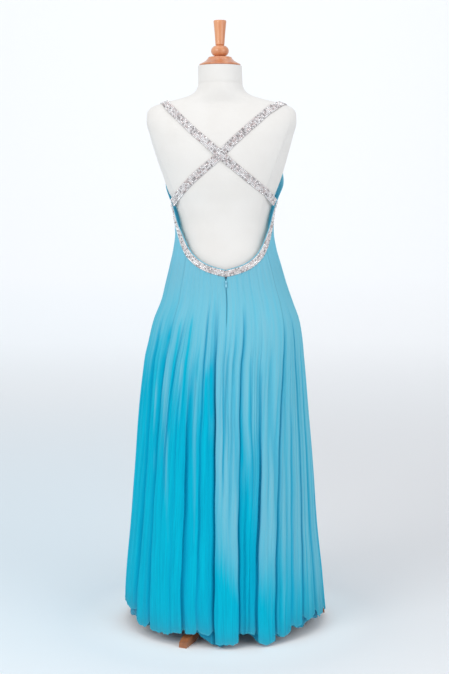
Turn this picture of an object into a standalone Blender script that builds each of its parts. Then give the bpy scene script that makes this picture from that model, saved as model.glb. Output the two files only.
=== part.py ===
"""Backless evening gown on a limbless dress form, in metres with +Z up.

The gown's front faces -Y and its open back faces +Y. The origin is on the floor under the gown.
Angles go round the body in degrees, from 0 at the centre back towards +X (90), the centre front (180)
and back along -X (-90).
"""
import math
from collections import namedtuple

import bmesh
import bpy
from mathutils import Vector
from mathutils.bvhtree import BVHTree

# Driving sizes
CLOTH = 0.0012              # chiffon and its backing, one wall
SEAM_GAP = 0.0004           # between neighbouring pieces
TRIM_LIFT = 0.0012          # stone trim above the cloth
TRIM_STEPS = 18
TRIM_WIDTH = 0.016
TRIM_THICKNESS = 0.0022
STRAP_WIDTH = 0.020
STRAP_THICKNESS = 0.0022
STRAP_LIFT = 0.0010         # strap above the form
STRAP_FRONT = 141           # angle at which a strap meets the front neckline
END_LIFT = 0.0014           # a strap's end above the cloth edge it is sewn to
STRAP_END = 77              # angle at which a strap meets the back edge
HEM_ZONE = 0.87             # cloth below this height keeps level rows
UNDER_TOP = 0.735           # where the under layer is sewn inside the skirt
SKIRT_LEVELS = (0.16, 0.36, 0.54, 0.65, UNDER_TOP)
UNDER_SEAT = 0.0009         # under layer inside the chiffon where it is sewn on
UNDER_INSET = 0.007         # and further inside below that
UNDER_HEM = 0.004
ZIP_TOP = 0.910
ZIP_BOTTOM = 0.755
ZIP_TAPE_WIDTH = 0.022
POLE_RADIUS = 0.014
HUB_RADIUS = 0.030
LEG_WIDTH = 0.020
LEG_ANGLES = (22.6, 142.6, 262.6)
FORM_BASE = 0.700
NECK_TOP = 1.430
AXIS_SIDE = 0.0115          # the neck leans this far to +X

Section = namedtuple("Section", "z half_width back front side square")

# Sections of the dress form, from its base to the top of its neck
FORM = [Section(*row) for row in (
    (FORM_BASE, 0.146, 0.098, 0.086, -0.004, 2.2),
    (0.715, 0.155, 0.106, 0.094, -0.004, 2.2),
    (0.800, 0.158, 0.112, 0.099, -0.005, 2.2),
    (0.850, 0.150, 0.109, 0.098, -0.004, 2.2),
    (0.900, 0.138, 0.101, 0.093, -0.003, 2.2),
    (0.950, 0.122, 0.092, 0.087, -0.002, 2.2),
    (1.000, 0.109, 0.085, 0.084, 0.000, 2.2),
    (1.030, 0.1065, 0.084, 0.086, 0.001, 2.2),
    (1.080, 0.117, 0.088, 0.094, 0.003, 2.3),
    (1.120, 0.136, 0.095, 0.104, 0.005, 2.3),
    (1.150, 0.150, 0.099, 0.110, 0.005, 2.3),
    (1.198, 0.1655, 0.101, 0.108, 0.0065, 2.4),
    (1.254, 0.1815, 0.094, 0.093, 0.0075, 2.4),
    (1.290, 0.190, 0.078, 0.075, 0.0075, 2.4),
    (1.310, 0.189, 0.065, 0.060, 0.0075, 2.3),
    (1.325, 0.180, 0.055, 0.048, 0.0075, 2.2),
    (1.337, 0.150, 0.051, 0.041, 0.008, 2.1),
    (1.347, 0.110, 0.053, 0.041, 0.009, 2.0),
    (1.357, 0.078, 0.056, 0.043, 0.0095, 2.0),
    (1.369, 0.062, 0.057, 0.047, 0.010, 2.0),
    (1.388, 0.0555, 0.055, 0.050, 0.0105, 2.0),
    (NECK_TOP, 0.0545, 0.0535, 0.0525, AXIS_SIDE, 2.0),
)]

# Sections of the gown over the crests of its folds
GOWN = [Section(*row) for row in (
    (0.000, 0.2672, 0.262, 0.262, -0.003, 2.0),
    (0.111, 0.2604, 0.252, 0.252, 0.001, 2.0),
    (0.258, 0.2457, 0.236, 0.236, 0.002, 2.0),
    (0.402, 0.2340, 0.219, 0.218, 0.0016, 2.0),
    (0.545, 0.2206, 0.199, 0.195, 0.0013, 2.0),
    (0.687, 0.2049, 0.173, 0.164, -0.0016, 2.05),
    (0.734, 0.1990, 0.162, 0.151, -0.003, 2.1),
    (0.785, 0.1885, 0.146, 0.135, -0.005, 2.15),
    (0.837, 0.1688, 0.127, 0.116, -0.006, 2.2),
    (0.878, 0.1565, 0.116, 0.107, -0.004, 2.2),
    (0.930, 0.1425, 0.106, 0.100, -0.0025, 2.2),
    (0.971, 0.1320, 0.100, 0.097, -0.001, 2.2),
    (1.012, 0.1263, 0.097, 0.097, 0.000, 2.2),
    (1.053, 0.1280, 0.098, 0.101, 0.0016, 2.25),
    (1.094, 0.1375, 0.104, 0.108, 0.0016, 2.3),
    (1.131, 0.1520, 0.110, 0.116, 0.001, 2.3),
    (1.165, 0.1620, 0.112, 0.120, 0.002, 2.35),
    (1.200, 0.1720, 0.110, 0.117, 0.004, 2.4),
    (1.250, 0.1850, 0.104, 0.104, 0.006, 2.4),
)]

# Bust of a general figure, the same rounding on the form and on the gown's darted front
BUST_HEIGHT, BUST_ANGLE, BUST_REACH = 1.150, 144, 0.018
BUST_TALL, BUST_WIDE = 0.055, 26

Fold = namedtuple("Fold", "hip knee hem depth inset lift start")

# One row for each valley, from the left side seam round the back and then round the front.
# hip, knee and hem are its angles at three heights; depth is at the hem. inset and lift place the crest
# that follows it: how far it stays inside the outline, and how high its hem is. start is the fold's top.
FOLDS = [Fold(*row) for row in (
    (92, 93, 94, 0.018, 0.002, 0.020, 0.80),
    (80, 82, 84, 0.014, 0.001, 0.022, 0.76),
    (67, 71, 74, 0.020, 0.003, 0.022, 0.80),
    (52, 50, 63, 0.026, 0.004, 0.024, 0.84),
    (35, 42.5, 45.5, 0.022, 0.000, 0.022, 0.82),
    (29, 34, 35, 0.011, 0.004, 0.022, 0.74),
    (22, 26.7, 24.2, 0.030, 0.009, 0.031, 0.78),
    (13.5, 16.2, 15, 0.022, 0.009, 0.027, 0.84),
    (7, 6.9, 5.7, 0.030, 0.001, 0.010, 0.85),
    (0, 2.5, 1, 0.007, 0.000, 0.008, 0.74),
    (-16, -10.1, -7.8, 0.024, 0.012, 0.024, 0.84),
    (-22, -18.9, -12.5, 0.011, 0.011, 0.024, 0.78),
    (-29, -25.2, -17.2, 0.030, 0.000, 0.008, 0.76),
    (-38, -39.5, -29.7, 0.028, 0.004, 0.018, 0.82),
    (-54, -49, -41.4, 0.022, 0.007, 0.028, 0.80),
    (-66, -61.7, -52, 0.018, 0.008, 0.030, 0.72),
    (-75, -74, -65, 0.018, 0.003, 0.024, 0.76),
    (-84, -84, -79, 0.014, 0.001, 0.020, 0.72),
    (-93, -94, -93, 0.020, 0.003, 0.024, 0.80),
    (-104, -105, -105, 0.026, 0.002, 0.020, 0.82),
    (-114, -116, -116, 0.022, 0.005, 0.016, 0.78),
    (-126, -127, -126, 0.030, 0.002, 0.014, 0.84),
    (-136, -138, -138, 0.016, 0.006, 0.012, 0.76),
    (-149, -148, -150, 0.028, 0.001, 0.012, 0.82),
    (-158, -160, -159, 0.022, 0.004, 0.010, 0.80),
    (-171, -170, -171, 0.028, 0.001, 0.010, 0.84),
    (-182, -182, -182, 0.016, 0.003, 0.010, 0.74),
    (-192, -193, -192, 0.028, 0.002, 0.010, 0.82),
    (-205, -204, -205, 0.022, 0.005, 0.012, 0.80),
    (-214, -216, -217, 0.024, 0.002, 0.012, 0.78),
    (-227, -227, -226, 0.030, 0.003, 0.014, 0.84),
    (-238, -239, -238, 0.016, 0.002, 0.016, 0.76),
    (-247, -248, -248, 0.024, 0.003, 0.018, 0.80),
    (-258, -258, -257, 0.018, 0.004, 0.020, 0.78),
)]
KNEE = 0.45                 # height of the knee column
FULL_TURN = 360

# Upper edge of the gown: angle from the centre back and height, the same on both sides
EDGE = ((0, 0.921), (17, 0.935), (35, 0.961), (51, 0.997), (66, 1.036), (74, 1.063), (STRAP_END, 1.083),
        (84, 1.105), (93, 1.137), (105, 1.166), (120, 1.196), (132, 1.224), (141, 1.237), (150, 1.216),
        (165, 1.166), (180, 1.132))

# Cut pieces: the folds at whose valleys each one starts and ends, counted in FOLDS
PANELS = {
    "side_panel_left": (0, 3),
    "back_panel_left": (3, 9),
    "back_panel_right": (9, 13),
    "side_panel_right": (13, 18),
    "front_panel": (18, 34),
}
UNDER_PANELS = {
    "under_layer_back": (0, 18),
    "under_layer_front": (18, 34),
}

# A strap's way from the front neckline over one shoulder and across the back: x on the shoulder's side
# is positive. The last row is the end on the far back edge.
StrapRow = namedtuple("StrapRow", "x z face")
STRAP_WAY = [StrapRow(*row) for row in (
    (0.134, 1.276, "front"),
    (0.141, 1.312, "front"),
    (0.146, None, "top"),
    (0.136, 1.322, "back"),
    (0.117, 1.306, "back"),
    (0.088, 1.281, "back"),
    (0.050, 1.245, "back"),
    (0.010, 1.207, "back"),
    (-0.030, 1.168, "back"),
    (-0.066, 1.133, "back"),
    (-0.098, 1.105, "back"),
)]
STRAP_CROSS = (0.010, 1.207)
CROSS_SPREAD = 0.040        # how far from the cross the upper strap rises over the lower one

# Turned wood: radius and height
CAP_PLATE = ((0.000, 1.4303), (0.0520, 1.4303), (0.0525, 1.4330), (0.0470, 1.4375), (0.0375, 1.4425),
             (0.0315, 1.4475), (0.0295, 1.4520), (0.0000, 1.4520))
CAP_HANDLE = ((0.0000, 1.4523), (0.0110, 1.4523), (0.0180, 1.4565), (0.0222, 1.4625), (0.0228, 1.4675),
              (0.0215, 1.4735), (0.0170, 1.4790), (0.0118, 1.4822), (0.0120, 1.4860), (0.0135, 1.5100),
              (0.0160, 1.5370), (0.0163, 1.5415), (0.0150, 1.5430), (0.0000, 1.5430))
POLE = ((0.0000, 0.0400), (0.0260, 0.0400), (HUB_RADIUS, 0.0450), (HUB_RADIUS, 0.1180), (0.0240, 0.1270),
        (0.0180, 0.1330), (POLE_RADIUS, 0.1450), (POLE_RADIUS, FORM_BASE - SEAM_GAP),
        (0.0000, FORM_BASE - SEAM_GAP))

# Side view of a leg: distance from the pole's axis and height
LEG_UNDERSIDE = ((0.268, 0.0), (0.215, 0.0), (0.170, 0.013), (0.105, 0.045), (HUB_RADIUS + SEAM_GAP, 0.062))
LEG_TOP = ((HUB_RADIUS + SEAM_GAP, 0.108), (0.105, 0.083), (0.170, 0.047), (0.215, 0.029), (0.250, 0.020),
           (0.266, 0.012))

# Zip slider and its drop-shaped pull, hanging just above the cloth
HOOK_DROP = 0.0035          # from the trim's lower edge to the hook's middle
HOOK_LIFT = 0.0014          # from the cloth's middle to the hook's middle
HOOK_SIZE = (0.0042, 0.0036, 0.0018)
PULL_HINGE = 0.891          # height of the pull's pin
PULL_LENGTH = 0.014
PULL_WIDTH = 0.0046
PULL_THICKNESS = 0.0012
PIN_RADIUS = 0.0006
PIN_CLEARANCE = 0.0003
SLIDER_WIDTH = 0.0042
SLIDER_HEIGHT = 0.0060
SLIDER_THICKNESS = 0.0010

FINISH = {                  # colour, roughness, metallic
    "chiffon": ((0.14, 0.58, 0.76), 0.75, 0.0),
    "under layer": ((0.02, 0.33, 0.50), 0.7, 0.0),
    "stones": ((0.75, 0.74, 0.76), 0.2, 0.6),
    "form cloth": ((0.84, 0.81, 0.76), 0.85, 0.0),
    "wood": ((0.55, 0.22, 0.08), 0.3, 0.0),
    "dark wood": ((0.20, 0.10, 0.05), 0.4, 0.0),
    "zip tape": ((0.06, 0.40, 0.55), 0.7, 0.0),
    "metal": ((0.55, 0.58, 0.62), 0.3, 1.0),
}


def slopes(xs, ys):
    """Slopes of a smooth curve through the points that never swings past them."""
    steps = [(y1 - y0) / (x1 - x0) for x0, x1, y0, y1 in zip(xs, xs[1:], ys, ys[1:])]
    inner = [0.0 if a * b <= 0 else 2 * a * b / (a + b) for a, b in zip(steps, steps[1:])]
    return [steps[0]] + inner + [steps[-1]]


def curve_at(xs, ys, x):
    """Height of that curve at x, held level past its ends."""
    x = min(max(x, xs[0]), xs[-1])
    index = max(i for i in range(len(xs) - 1) if xs[i] <= x)
    width = xs[index + 1] - xs[index]
    t = (x - xs[index]) / width
    tangents = slopes(xs, ys)
    start = (1 + 2 * t) * (1 - t) ** 2 * ys[index] + t * (1 - t) ** 2 * width * tangents[index]
    end = t * t * (3 - 2 * t) * ys[index + 1] + t * t * (t - 1) * width * tangents[index + 1]
    return start + end


def section_at(table, z):
    heights = [row.z for row in table]
    columns = zip(*[row[1:] for row in table])
    return [curve_at(heights, list(column), z) for column in columns]


def ease(value):
    """Smooth rise from 0 to 1."""
    value = min(max(value, 0.0), 1.0)
    return value * value * (3 - 2 * value)


def bust(angle, z):
    turn = abs((angle + 180) % FULL_TURN - 180)
    across = math.exp(-((turn - BUST_ANGLE) / BUST_WIDE) ** 2)
    return BUST_REACH * across * math.exp(-((z - BUST_HEIGHT) / BUST_TALL) ** 2)


def point_on(table, angle, z, inset=0.0):
    """Point of a sectioned body at an angle and height, inset towards its middle."""
    half_width, back, front, side, square = section_at(table, z)
    sine, cosine = math.sin(math.radians(angle)), math.cos(math.radians(angle))
    depth = back if cosine > 0 else front
    power = 2 / square
    x = (half_width - inset) * math.copysign(abs(sine) ** power, sine)
    y = (depth - inset) * math.copysign(abs(cosine) ** power, cosine)
    return Vector((side + x, y - bust(angle, z), z))


def form_point(x, z, face, lift):
    """Point lifted off the form's back, front or shoulder line."""
    if face == "top":
        rows = [row for row in FORM if row.z >= 1.30]
        widths = [-row.half_width for row in rows]
        z = curve_at(widths, [row.z for row in rows], -abs(x - rows[3].side))
        return Vector((x, 0.002, z + lift))
    half_width, back, front, side, square = section_at(FORM, z)
    share = min(abs(x - side) / half_width, 0.999)
    reach = (1 - share ** square) ** (1 / square)
    if face == "back":
        return Vector((x, back * reach + lift, z))
    angle = math.degrees(math.atan2(x, -front * reach))
    return Vector((x, -front * reach - bust(angle, z) - lift, z))


def edge_height(angle):
    turn = abs((angle + 180) % FULL_TURN - 180)
    return curve_at([row[0] for row in EDGE], [row[1] for row in EDGE], turn)


def over_leg(angle):
    """1 above a foot of the stand, where the hem is lifted over it, and 0 away from it."""
    nearest = min(abs((angle - leg + 180) % FULL_TURN - 180) for leg in LEG_ANGLES)
    return 1 - ease((nearest - 6) / 7)


def valley_angle(index, column):
    turns, row = divmod(index, len(FOLDS))
    return getattr(FOLDS[row], column) - FULL_TURN * turns


def column_list(first, last):
    """Columns of a panel: fold number and how far across the fold, from one valley to another."""
    columns = []
    for index in range(first, last):
        width = valley_angle(index, "hip") - valley_angle(index + 1, "hip")
        count = 4 if width < 14 else 5
        columns += [(index, step / count) for step in range(count)]
    return columns + [(last, 0.0)]


def column_angle(index, across, z):
    heights = [0.0, KNEE, 0.84]
    names = ("hem", "knee", "hip")
    near = [valley_angle(index, name) for name in names]
    far = [valley_angle(index + 1, name) for name in names]
    blend = [a + (b - a) * across for a, b in zip(near, far)]
    return curve_at(heights, blend, z)


def fold_inset(index, across, z):
    """How far the cloth lies inside the gown's outline at this place."""
    here, after = FOLDS[index % len(FOLDS)], FOLDS[(index + 1) % len(FOLDS)]
    depth = here.depth + (after.depth - here.depth) * across
    start = here.start + (after.start - here.start) * across
    valley = ((math.cos(2 * math.pi * across) + 1) / 2) ** 1.4
    grown = ease((start - z) / 0.36) * (0.62 + 0.38 * (1 - z / start))
    crest = here.inset * ease((0.60 - z) / 0.60) * (1 - valley)
    return depth * valley * grown + crest


def hem_height(index, across):
    here, before = FOLDS[index % len(FOLDS)], FOLDS[(index - 1) % len(FOLDS)]
    level = here.lift if across else (here.lift + before.lift) / 2
    angle = column_angle(index, across, 0.0)
    return max(level, 0.032 * over_leg(angle))


def gown_point(index, across, z, inset=0.0):
    angle = column_angle(index, across, z)
    return point_on(GOWN, angle, z, fold_inset(index, across, z) + inset)


def new_material(name):
    colour, roughness, metallic = FINISH[name]
    material = bpy.data.materials.new(name)
    material.use_nodes = True
    shader = material.node_tree.nodes["Principled BSDF"]
    shader.inputs["Base Color"].default_value = (*colour, 1.0)
    shader.inputs["Roughness"].default_value = roughness
    shader.inputs["Metallic"].default_value = metallic
    return material


def add_object(name, mesh_builder, finish, smooth_angle=40):
    mesh = bpy.data.meshes.new(name)
    mesh_builder.to_mesh(mesh)
    mesh_builder.free()
    mesh.shade_smooth()
    mesh.set_sharp_from_angle(angle=math.radians(smooth_angle))
    mesh.materials.append(new_material(finish))
    obj = bpy.data.objects.new(name, mesh)
    bpy.context.collection.objects.link(obj)
    return obj


def grid(columns):
    """Open cloth from columns of points, its outer face on the outside of the body."""
    bm = bmesh.new()
    verts = [[bm.verts.new(point) for point in column] for column in columns]
    for near, far in zip(verts, verts[1:]):
        for a, b, c, d in zip(near, far, far[1:], near[1:]):
            # Split across the shorter diagonal, so that both faces of the wall fold alike
            if (a.co - c.co).length < (b.co - d.co).length:
                bm.faces.new((a, b, c))
                bm.faces.new((a, c, d))
            else:
                bm.faces.new((a, b, d))
                bm.faces.new((b, c, d))
    return bm


def give_wall(obj, thickness, offset):
    wall = obj.modifiers.new("Wall", "SOLIDIFY")
    wall.thickness = thickness
    wall.offset = offset
    wall.use_even_offset = True
    wall.use_quality_normals = True


def pull_in_ends(columns, gap):
    """Take half a seam gap off each side edge of a panel."""
    for edge, inner in ((columns[0], columns[1]), (columns[-1], columns[-2])):
        for row, point in enumerate(edge):
            step = inner[row] - point
            edge[row] = point + step.normalized() * gap / 2


def panel_heights(index, across):
    """Row heights from the hem to the upper edge."""
    hem = hem_height(index, across)
    levels = [hem, *SKIRT_LEVELS, 0.805, HEM_ZONE]
    top = edge_height(column_angle(index, across, HEM_ZONE))
    return levels + [HEM_ZONE + (top - HEM_ZONE) * share for share in (0.2, 0.4, 0.6, 0.8, 1.0)]


def make_panel(name, first, last):
    columns = []
    for index, across in column_list(first, last):
        columns.append([gown_point(index, across, z) for z in panel_heights(index, across)])
    pull_in_ends(columns, SEAM_GAP)
    obj = add_object(name, grid(columns), "chiffon")
    give_wall(obj, CLOTH, -1.0)
    return obj


def make_under_panel(name, first, last):
    columns = []
    for index, across in column_list(first, last):
        angle = column_angle(index, across, 0.0)
        hem = max(UNDER_HEM, 0.035 * over_leg(angle))
        column = []
        for z in (hem, *SKIRT_LEVELS):
            inset = CLOTH + UNDER_SEAT + UNDER_INSET * ease((UNDER_TOP - z) / 0.08)
            column.append(gown_point(index, across, z, inset))
        columns.append(column)
    pull_in_ends(columns, SEAM_GAP)
    obj = add_object(name, grid(columns), "under layer")
    give_wall(obj, CLOTH, -1.0)
    return obj


def gown_frame(angle, z):
    """Point, outward normal and the two surface directions of the smooth gown at a place."""
    step_angle, step_z = 0.5, 0.002
    point = point_on(GOWN, angle, z)
    along = (point_on(GOWN, angle + step_angle, z) - point) / step_angle
    up = (point_on(GOWN, angle, z + step_z) - point) / step_z
    normal = up.cross(along).normalized()
    if normal.dot(Vector((point.x, point.y, 0))) < 0:
        normal.negate()
    return point, normal, along, up


def trim_point(angle, down):
    """Place on the cloth this far below the upper edge, square to the edge, and its outward direction."""
    point, normal, along, up = gown_frame(angle, edge_height(angle))
    ahead = point_on(GOWN, angle + 0.5, edge_height(angle + 0.5))
    tangent = (ahead - point).normalized()
    square = normal.cross(tangent).normalized()
    if square.z > 0:
        square.negate()
    move = square * down
    # The move, split into degrees along and metres up the surface
    uu, uv, vv = along.dot(along), along.dot(up), up.dot(up)
    mu, mv = move.dot(along), move.dot(up)
    det = uu * vv - uv * uv
    turn = (mu * vv - mv * uv) / det
    rise = (mv * uu - mu * uv) / det
    place, out, _, _ = gown_frame(angle + turn, edge_height(angle) + rise)
    return place, out


def evenly_along_edge(start, end, count):
    """Angles that part a stretch of the gown's upper edge into equal lengths."""
    fine = [start + (end - start) * step / 200 for step in range(201)]
    points = [point_on(GOWN, angle, edge_height(angle)) for angle in fine]
    travelled = [0.0]
    for near, far in zip(points, points[1:]):
        travelled.append(travelled[-1] + (far - near).length)
    return [curve_at(travelled, fine, travelled[-1] * step / count) for step in range(count + 1)]


def surface_of(*objects):
    """Searchable surface of finished pieces, for laying others on them."""
    bm = bmesh.new()
    depsgraph = bpy.context.evaluated_depsgraph_get()
    for obj in objects:
        bm.from_mesh(obj.evaluated_get(depsgraph).to_mesh())
    bmesh.ops.triangulate(bm, faces=bm.faces)
    tree = BVHTree.FromBMesh(bm)
    bm.free()
    return tree


def height_over(surface, point, outward, reach=0.02):
    """How far the surface stands above a point along its outward direction, or None past its edge."""
    hit = surface.ray_cast(point + outward * reach, -outward, reach * 1.5)[0]
    return None if hit is None else (hit - point).dot(outward)


def make_trim(name, side, cloth):
    """Stone trim along one half of the back edge, from the centre back to the strap's end."""
    columns = []
    for angle in evenly_along_edge(0.15, STRAP_END - 0.6, TRIM_STEPS):
        column = []
        for down in (TRIM_WIDTH, TRIM_WIDTH / 2, 0.0):
            place, out = trim_point(side * angle, down)
            above = height_over(cloth, place, out) or 0.0
            column.append(place + out * (max(above, 0.0) + TRIM_LIFT))
        columns.append(column)
    if side > 0:
        columns.reverse()
    obj = add_object(name, grid(columns), "stones")
    give_wall(obj, TRIM_THICKNESS, 1.0)
    return obj


def strap_seat(angle):
    """Where a strap's end meets the gown's upper edge."""
    end, out, _, _ = gown_frame(angle, edge_height(angle))
    return end + Vector((0, 0, END_LIFT)) - out * CLOTH / 2


def strap_path(shoulder):
    """Points along the middle of a strap, from the front neckline to the far back edge."""
    places = [strap_seat(shoulder * STRAP_FRONT)]
    for row in STRAP_WAY:
        x = row.x if shoulder > 0 else 2 * STRAP_CROSS[0] - row.x
        places.append(form_point(x, row.z, row.face, STRAP_LIFT))
    return places + [strap_seat(-shoulder * STRAP_END)]


def catmull(points, steps):
    """Points read from a smooth curve through the given ones."""
    padded = [points[0] * 2 - points[1]] + points + [points[-1] * 2 - points[-2]]
    result = []
    for a, b, c, d in zip(padded, padded[1:], padded[2:], padded[3:]):
        for step in range(steps):
            t = step / steps
            result.append(0.5 * (2 * b + (c - a) * t + (2 * a - 5 * b + 4 * c - d) * t * t
                                 + (3 * b - a - 3 * c + d) * t ** 3))
    return result + [points[-1]]


def make_strap(name, shoulder, extra_lift, form):
    """Band laid over the form, lifted further where it crosses over the other one."""
    places = catmull(strap_path(shoulder), 3)
    columns = []
    for index, place in enumerate(places):
        before, after = places[max(index - 1, 0)], places[min(index + 1, len(places) - 1)]
        tangent = (after - before).normalized()
        outward = form.find_nearest(place)[1]
        outward = (outward - tangent * outward.dot(tangent)).normalized()
        across = tangent.cross(outward).normalized() * STRAP_WIDTH / 2
        section = [place - across, place, place + across]
        stride = (after - before) / 3
        probes = [point + stride * share for point in section for share in (-1, -0.5, 0, 0.5, 1)]
        heights = [height_over(form, probe, outward) for probe in probes]
        lift = max([height + STRAP_LIFT for height in heights if height is not None] + [0.0])
        near = math.hypot(place.x - STRAP_CROSS[0], place.z - STRAP_CROSS[1]) / CROSS_SPREAD
        lift += extra_lift * (1 - ease(near - 0.4)) * (place.y > 0)
        columns.append([point + outward * lift for point in section])
    obj = add_object(name, grid(columns), "stones")
    give_wall(obj, STRAP_THICKNESS, -1.0)
    return obj


def make_form():
    levels = [row.z for row in FORM]
    levels = sorted(levels + [0.975, 1.055, 1.175, 1.225])
    bm = bmesh.new()
    rings = []
    for z in levels:
        ring = [bm.verts.new(point_on(FORM, angle, z)) for angle in range(0, FULL_TURN, 10)]
        rings.append(ring)
    for low, high in zip(rings, rings[1:]):
        for a, b, c, d in zip(low, low[1:] + low[:1], high[1:] + high[:1], high):
            bm.faces.new((a, b, c, d))
    bm.faces.new(rings[0])
    bm.faces.new(rings[-1])
    bmesh.ops.recalc_face_normals(bm, faces=bm.faces)
    return add_object("dress_form", bm, "form cloth")


def make_turned(name, profile, side, finish, segments):
    """Solid of revolution about a vertical axis, from radius and height pairs."""
    bm = bmesh.new()
    verts = [bm.verts.new((radius, 0.0, z)) for radius, z in profile]
    edges = [bm.edges.new(pair) for pair in zip(verts, verts[1:])]
    bmesh.ops.spin(bm, geom=verts + edges, cent=(0, 0, 0), axis=(0, 0, 1), angle=math.tau,
                   steps=segments, use_merge=True)
    bmesh.ops.remove_doubles(bm, verts=bm.verts, dist=0.00001)
    bmesh.ops.recalc_face_normals(bm, faces=bm.faces)
    obj = add_object(name, bm, finish)
    obj.location.x = side
    return obj


def make_leg(name, angle):
    """Leg cut from a board: its side view, given a width, with softened upper edges."""
    bm = bmesh.new()
    outline = [bm.verts.new((0.0, reach, z)) for reach, z in LEG_UNDERSIDE + LEG_TOP]
    face = bm.faces.new(outline)
    extruded = bmesh.ops.extrude_face_region(bm, geom=[face])
    moved = [item for item in extruded["geom"] if isinstance(item, bmesh.types.BMVert)]
    bmesh.ops.translate(bm, verts=moved, vec=(LEG_WIDTH, 0, 0))
    bmesh.ops.translate(bm, verts=bm.verts, vec=(-LEG_WIDTH / 2, 0, 0))
    bmesh.ops.recalc_face_normals(bm, faces=bm.faces)
    obj = add_object(name, bm, "dark wood", 20)
    obj.rotation_euler.z = -math.radians(angle)
    return obj


def make_zip_tape():
    columns = []
    for across in (0.5, 0.0, -0.5):
        column = []
        for step in range(7):
            z = ZIP_BOTTOM + (ZIP_TOP - ZIP_BOTTOM) * step / 6
            point, normal, along, _ = gown_frame(0, z)
            angle = across * ZIP_TAPE_WIDTH / along.length
            place, out, _, _ = gown_frame(angle, z)
            column.append(place - out * (CLOTH + 0.0045 * ease((0.80 - z) / 0.06) + 0.0007))
        columns.append(column)
    obj = add_object("zip_tape", grid(columns), "zip tape")
    give_wall(obj, 0.0010, -1.0)
    return obj


def box(bm, centre, right, up, out, sizes):
    """Box with its own axes, sizes given along right, up and out."""
    made = bmesh.ops.create_cube(bm, size=1.0)["verts"]
    for vert in made:
        x, y, z = vert.co
        vert.co = centre + right * x * sizes[0] + up * y * sizes[1] + out * z * sizes[2]
    bmesh.ops.recalc_face_normals(bm, faces=bm.faces)


def pull_frame():
    point, out, _, up = gown_frame(0, PULL_HINGE)
    up.normalize()
    return point, out, up, Vector((1, 0, 0))


def make_slider():
    """Slider on the cloth with two lugs and the pin that the pull hangs on."""
    point, out, up, right = pull_frame()
    bm = bmesh.new()
    base = SEAM_GAP + 0.0002
    box(bm, point + out * (base + SLIDER_THICKNESS / 2), right, up, out,
        (SLIDER_WIDTH, SLIDER_HEIGHT, SLIDER_THICKNESS))
    slider = add_object("zip_slider", bm, "metal", 20)
    pin_out = base + SLIDER_THICKNESS + PIN_RADIUS + PULL_THICKNESS
    lug_gap = PULL_WIDTH * 0.42 + PIN_CLEARANCE
    for side in (-1, 1):
        bm = bmesh.new()
        box(bm, point + right * side * (lug_gap / 2 + 0.0005) + out * (base + (pin_out + PIN_RADIUS) / 2),
            right, up, out, (0.0010, 0.0022, pin_out + PIN_RADIUS - base + 0.0006))
        join(slider, bm)
    bm = bmesh.new()
    made = bmesh.ops.create_cone(bm, cap_ends=True, segments=8, radius1=PIN_RADIUS, radius2=PIN_RADIUS,
                                 depth=lug_gap + 0.0012)["verts"]
    for vert in made:
        x, y, z = vert.co
        vert.co = point + out * (pin_out + y) + up * x + right * z
    join(slider, bm)
    return pin_out


def join(target, bm):
    """Unite a small body with the target by an exact Boolean."""
    bmesh.ops.recalc_face_normals(bm, faces=bm.faces)
    mesh = bpy.data.meshes.new("cutter")
    bm.to_mesh(mesh)
    bm.free()
    helper = bpy.data.objects.new("helper", mesh)
    bpy.context.collection.objects.link(helper)
    modifier = target.modifiers.new("Unite", "BOOLEAN")
    modifier.operation = "UNION"
    modifier.object = helper
    bpy.context.view_layer.update()
    evaluated = target.evaluated_get(bpy.context.evaluated_depsgraph_get())
    united = bpy.data.meshes.new_from_object(evaluated)
    united.name = target.name
    target.modifiers.clear()
    target.data = united
    bpy.data.objects.remove(helper)


def make_pull(pin_out):
    """Drop-shaped pull with an eye round the pin, hanging from its hinge."""
    point, out, up, right = pull_frame()
    hinge = point + out * pin_out
    eye = PIN_RADIUS + PIN_CLEARANCE
    half_eye = PULL_WIDTH * 0.42 / 2
    bm = bmesh.new()
    rows = 8
    outer_radius = eye + 0.0006
    ring = []
    for step in range(rows):
        turn = math.tau * step / rows
        for radius in (eye, outer_radius):
            ring.append((math.cos(turn) * radius, math.sin(turn) * radius))
    layers = []
    for side in (-half_eye, half_eye):
        layers.append([bm.verts.new(hinge + up * a + out * b + right * side) for a, b in ring])
    low, high = layers
    for step in range(rows):
        i, j = 2 * step, 2 * ((step + 1) % rows)
        bm.faces.new((low[i], low[j], low[j + 1], low[i + 1]))
        bm.faces.new((high[i], high[i + 1], high[j + 1], high[j]))
        bm.faces.new((low[i], high[i], high[j], low[j]))
        bm.faces.new((low[i + 1], low[j + 1], high[j + 1], high[i + 1]))
    bmesh.ops.recalc_face_normals(bm, faces=bm.faces)
    pull = add_object("zip_pull", bm, "metal", 20)
    blade = bmesh.new()
    outline = ((half_eye * 0.9, -eye - 0.0003), (half_eye, -0.005), (PULL_WIDTH / 2, -0.0095),
               (PULL_WIDTH * 0.36, -PULL_LENGTH + 0.0008), (0.0, -PULL_LENGTH))
    outline += tuple((-x, z) for x, z in outline[-2::-1])
    verts = [blade.verts.new(hinge + right * x + up * z - out * PULL_THICKNESS / 2) for x, z in outline]
    face = blade.faces.new(verts)
    extruded = bmesh.ops.extrude_face_region(blade, geom=[face])
    moved = [item for item in extruded["geom"] if isinstance(item, bmesh.types.BMVert)]
    bmesh.ops.translate(blade, verts=moved, vec=out * PULL_THICKNESS)
    join(pull, blade)
    return pull


def make_hook():
    """Small hook at the centre back where the two halves of the trim meet."""
    point, out, _, up = gown_frame(0, edge_height(0) - TRIM_WIDTH - HOOK_DROP)
    up.normalize()
    bm = bmesh.new()
    box(bm, point + out * HOOK_LIFT, Vector((1, 0, 0)), up, out, HOOK_SIZE)
    return add_object("hook", bm, "metal", 20)


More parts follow.
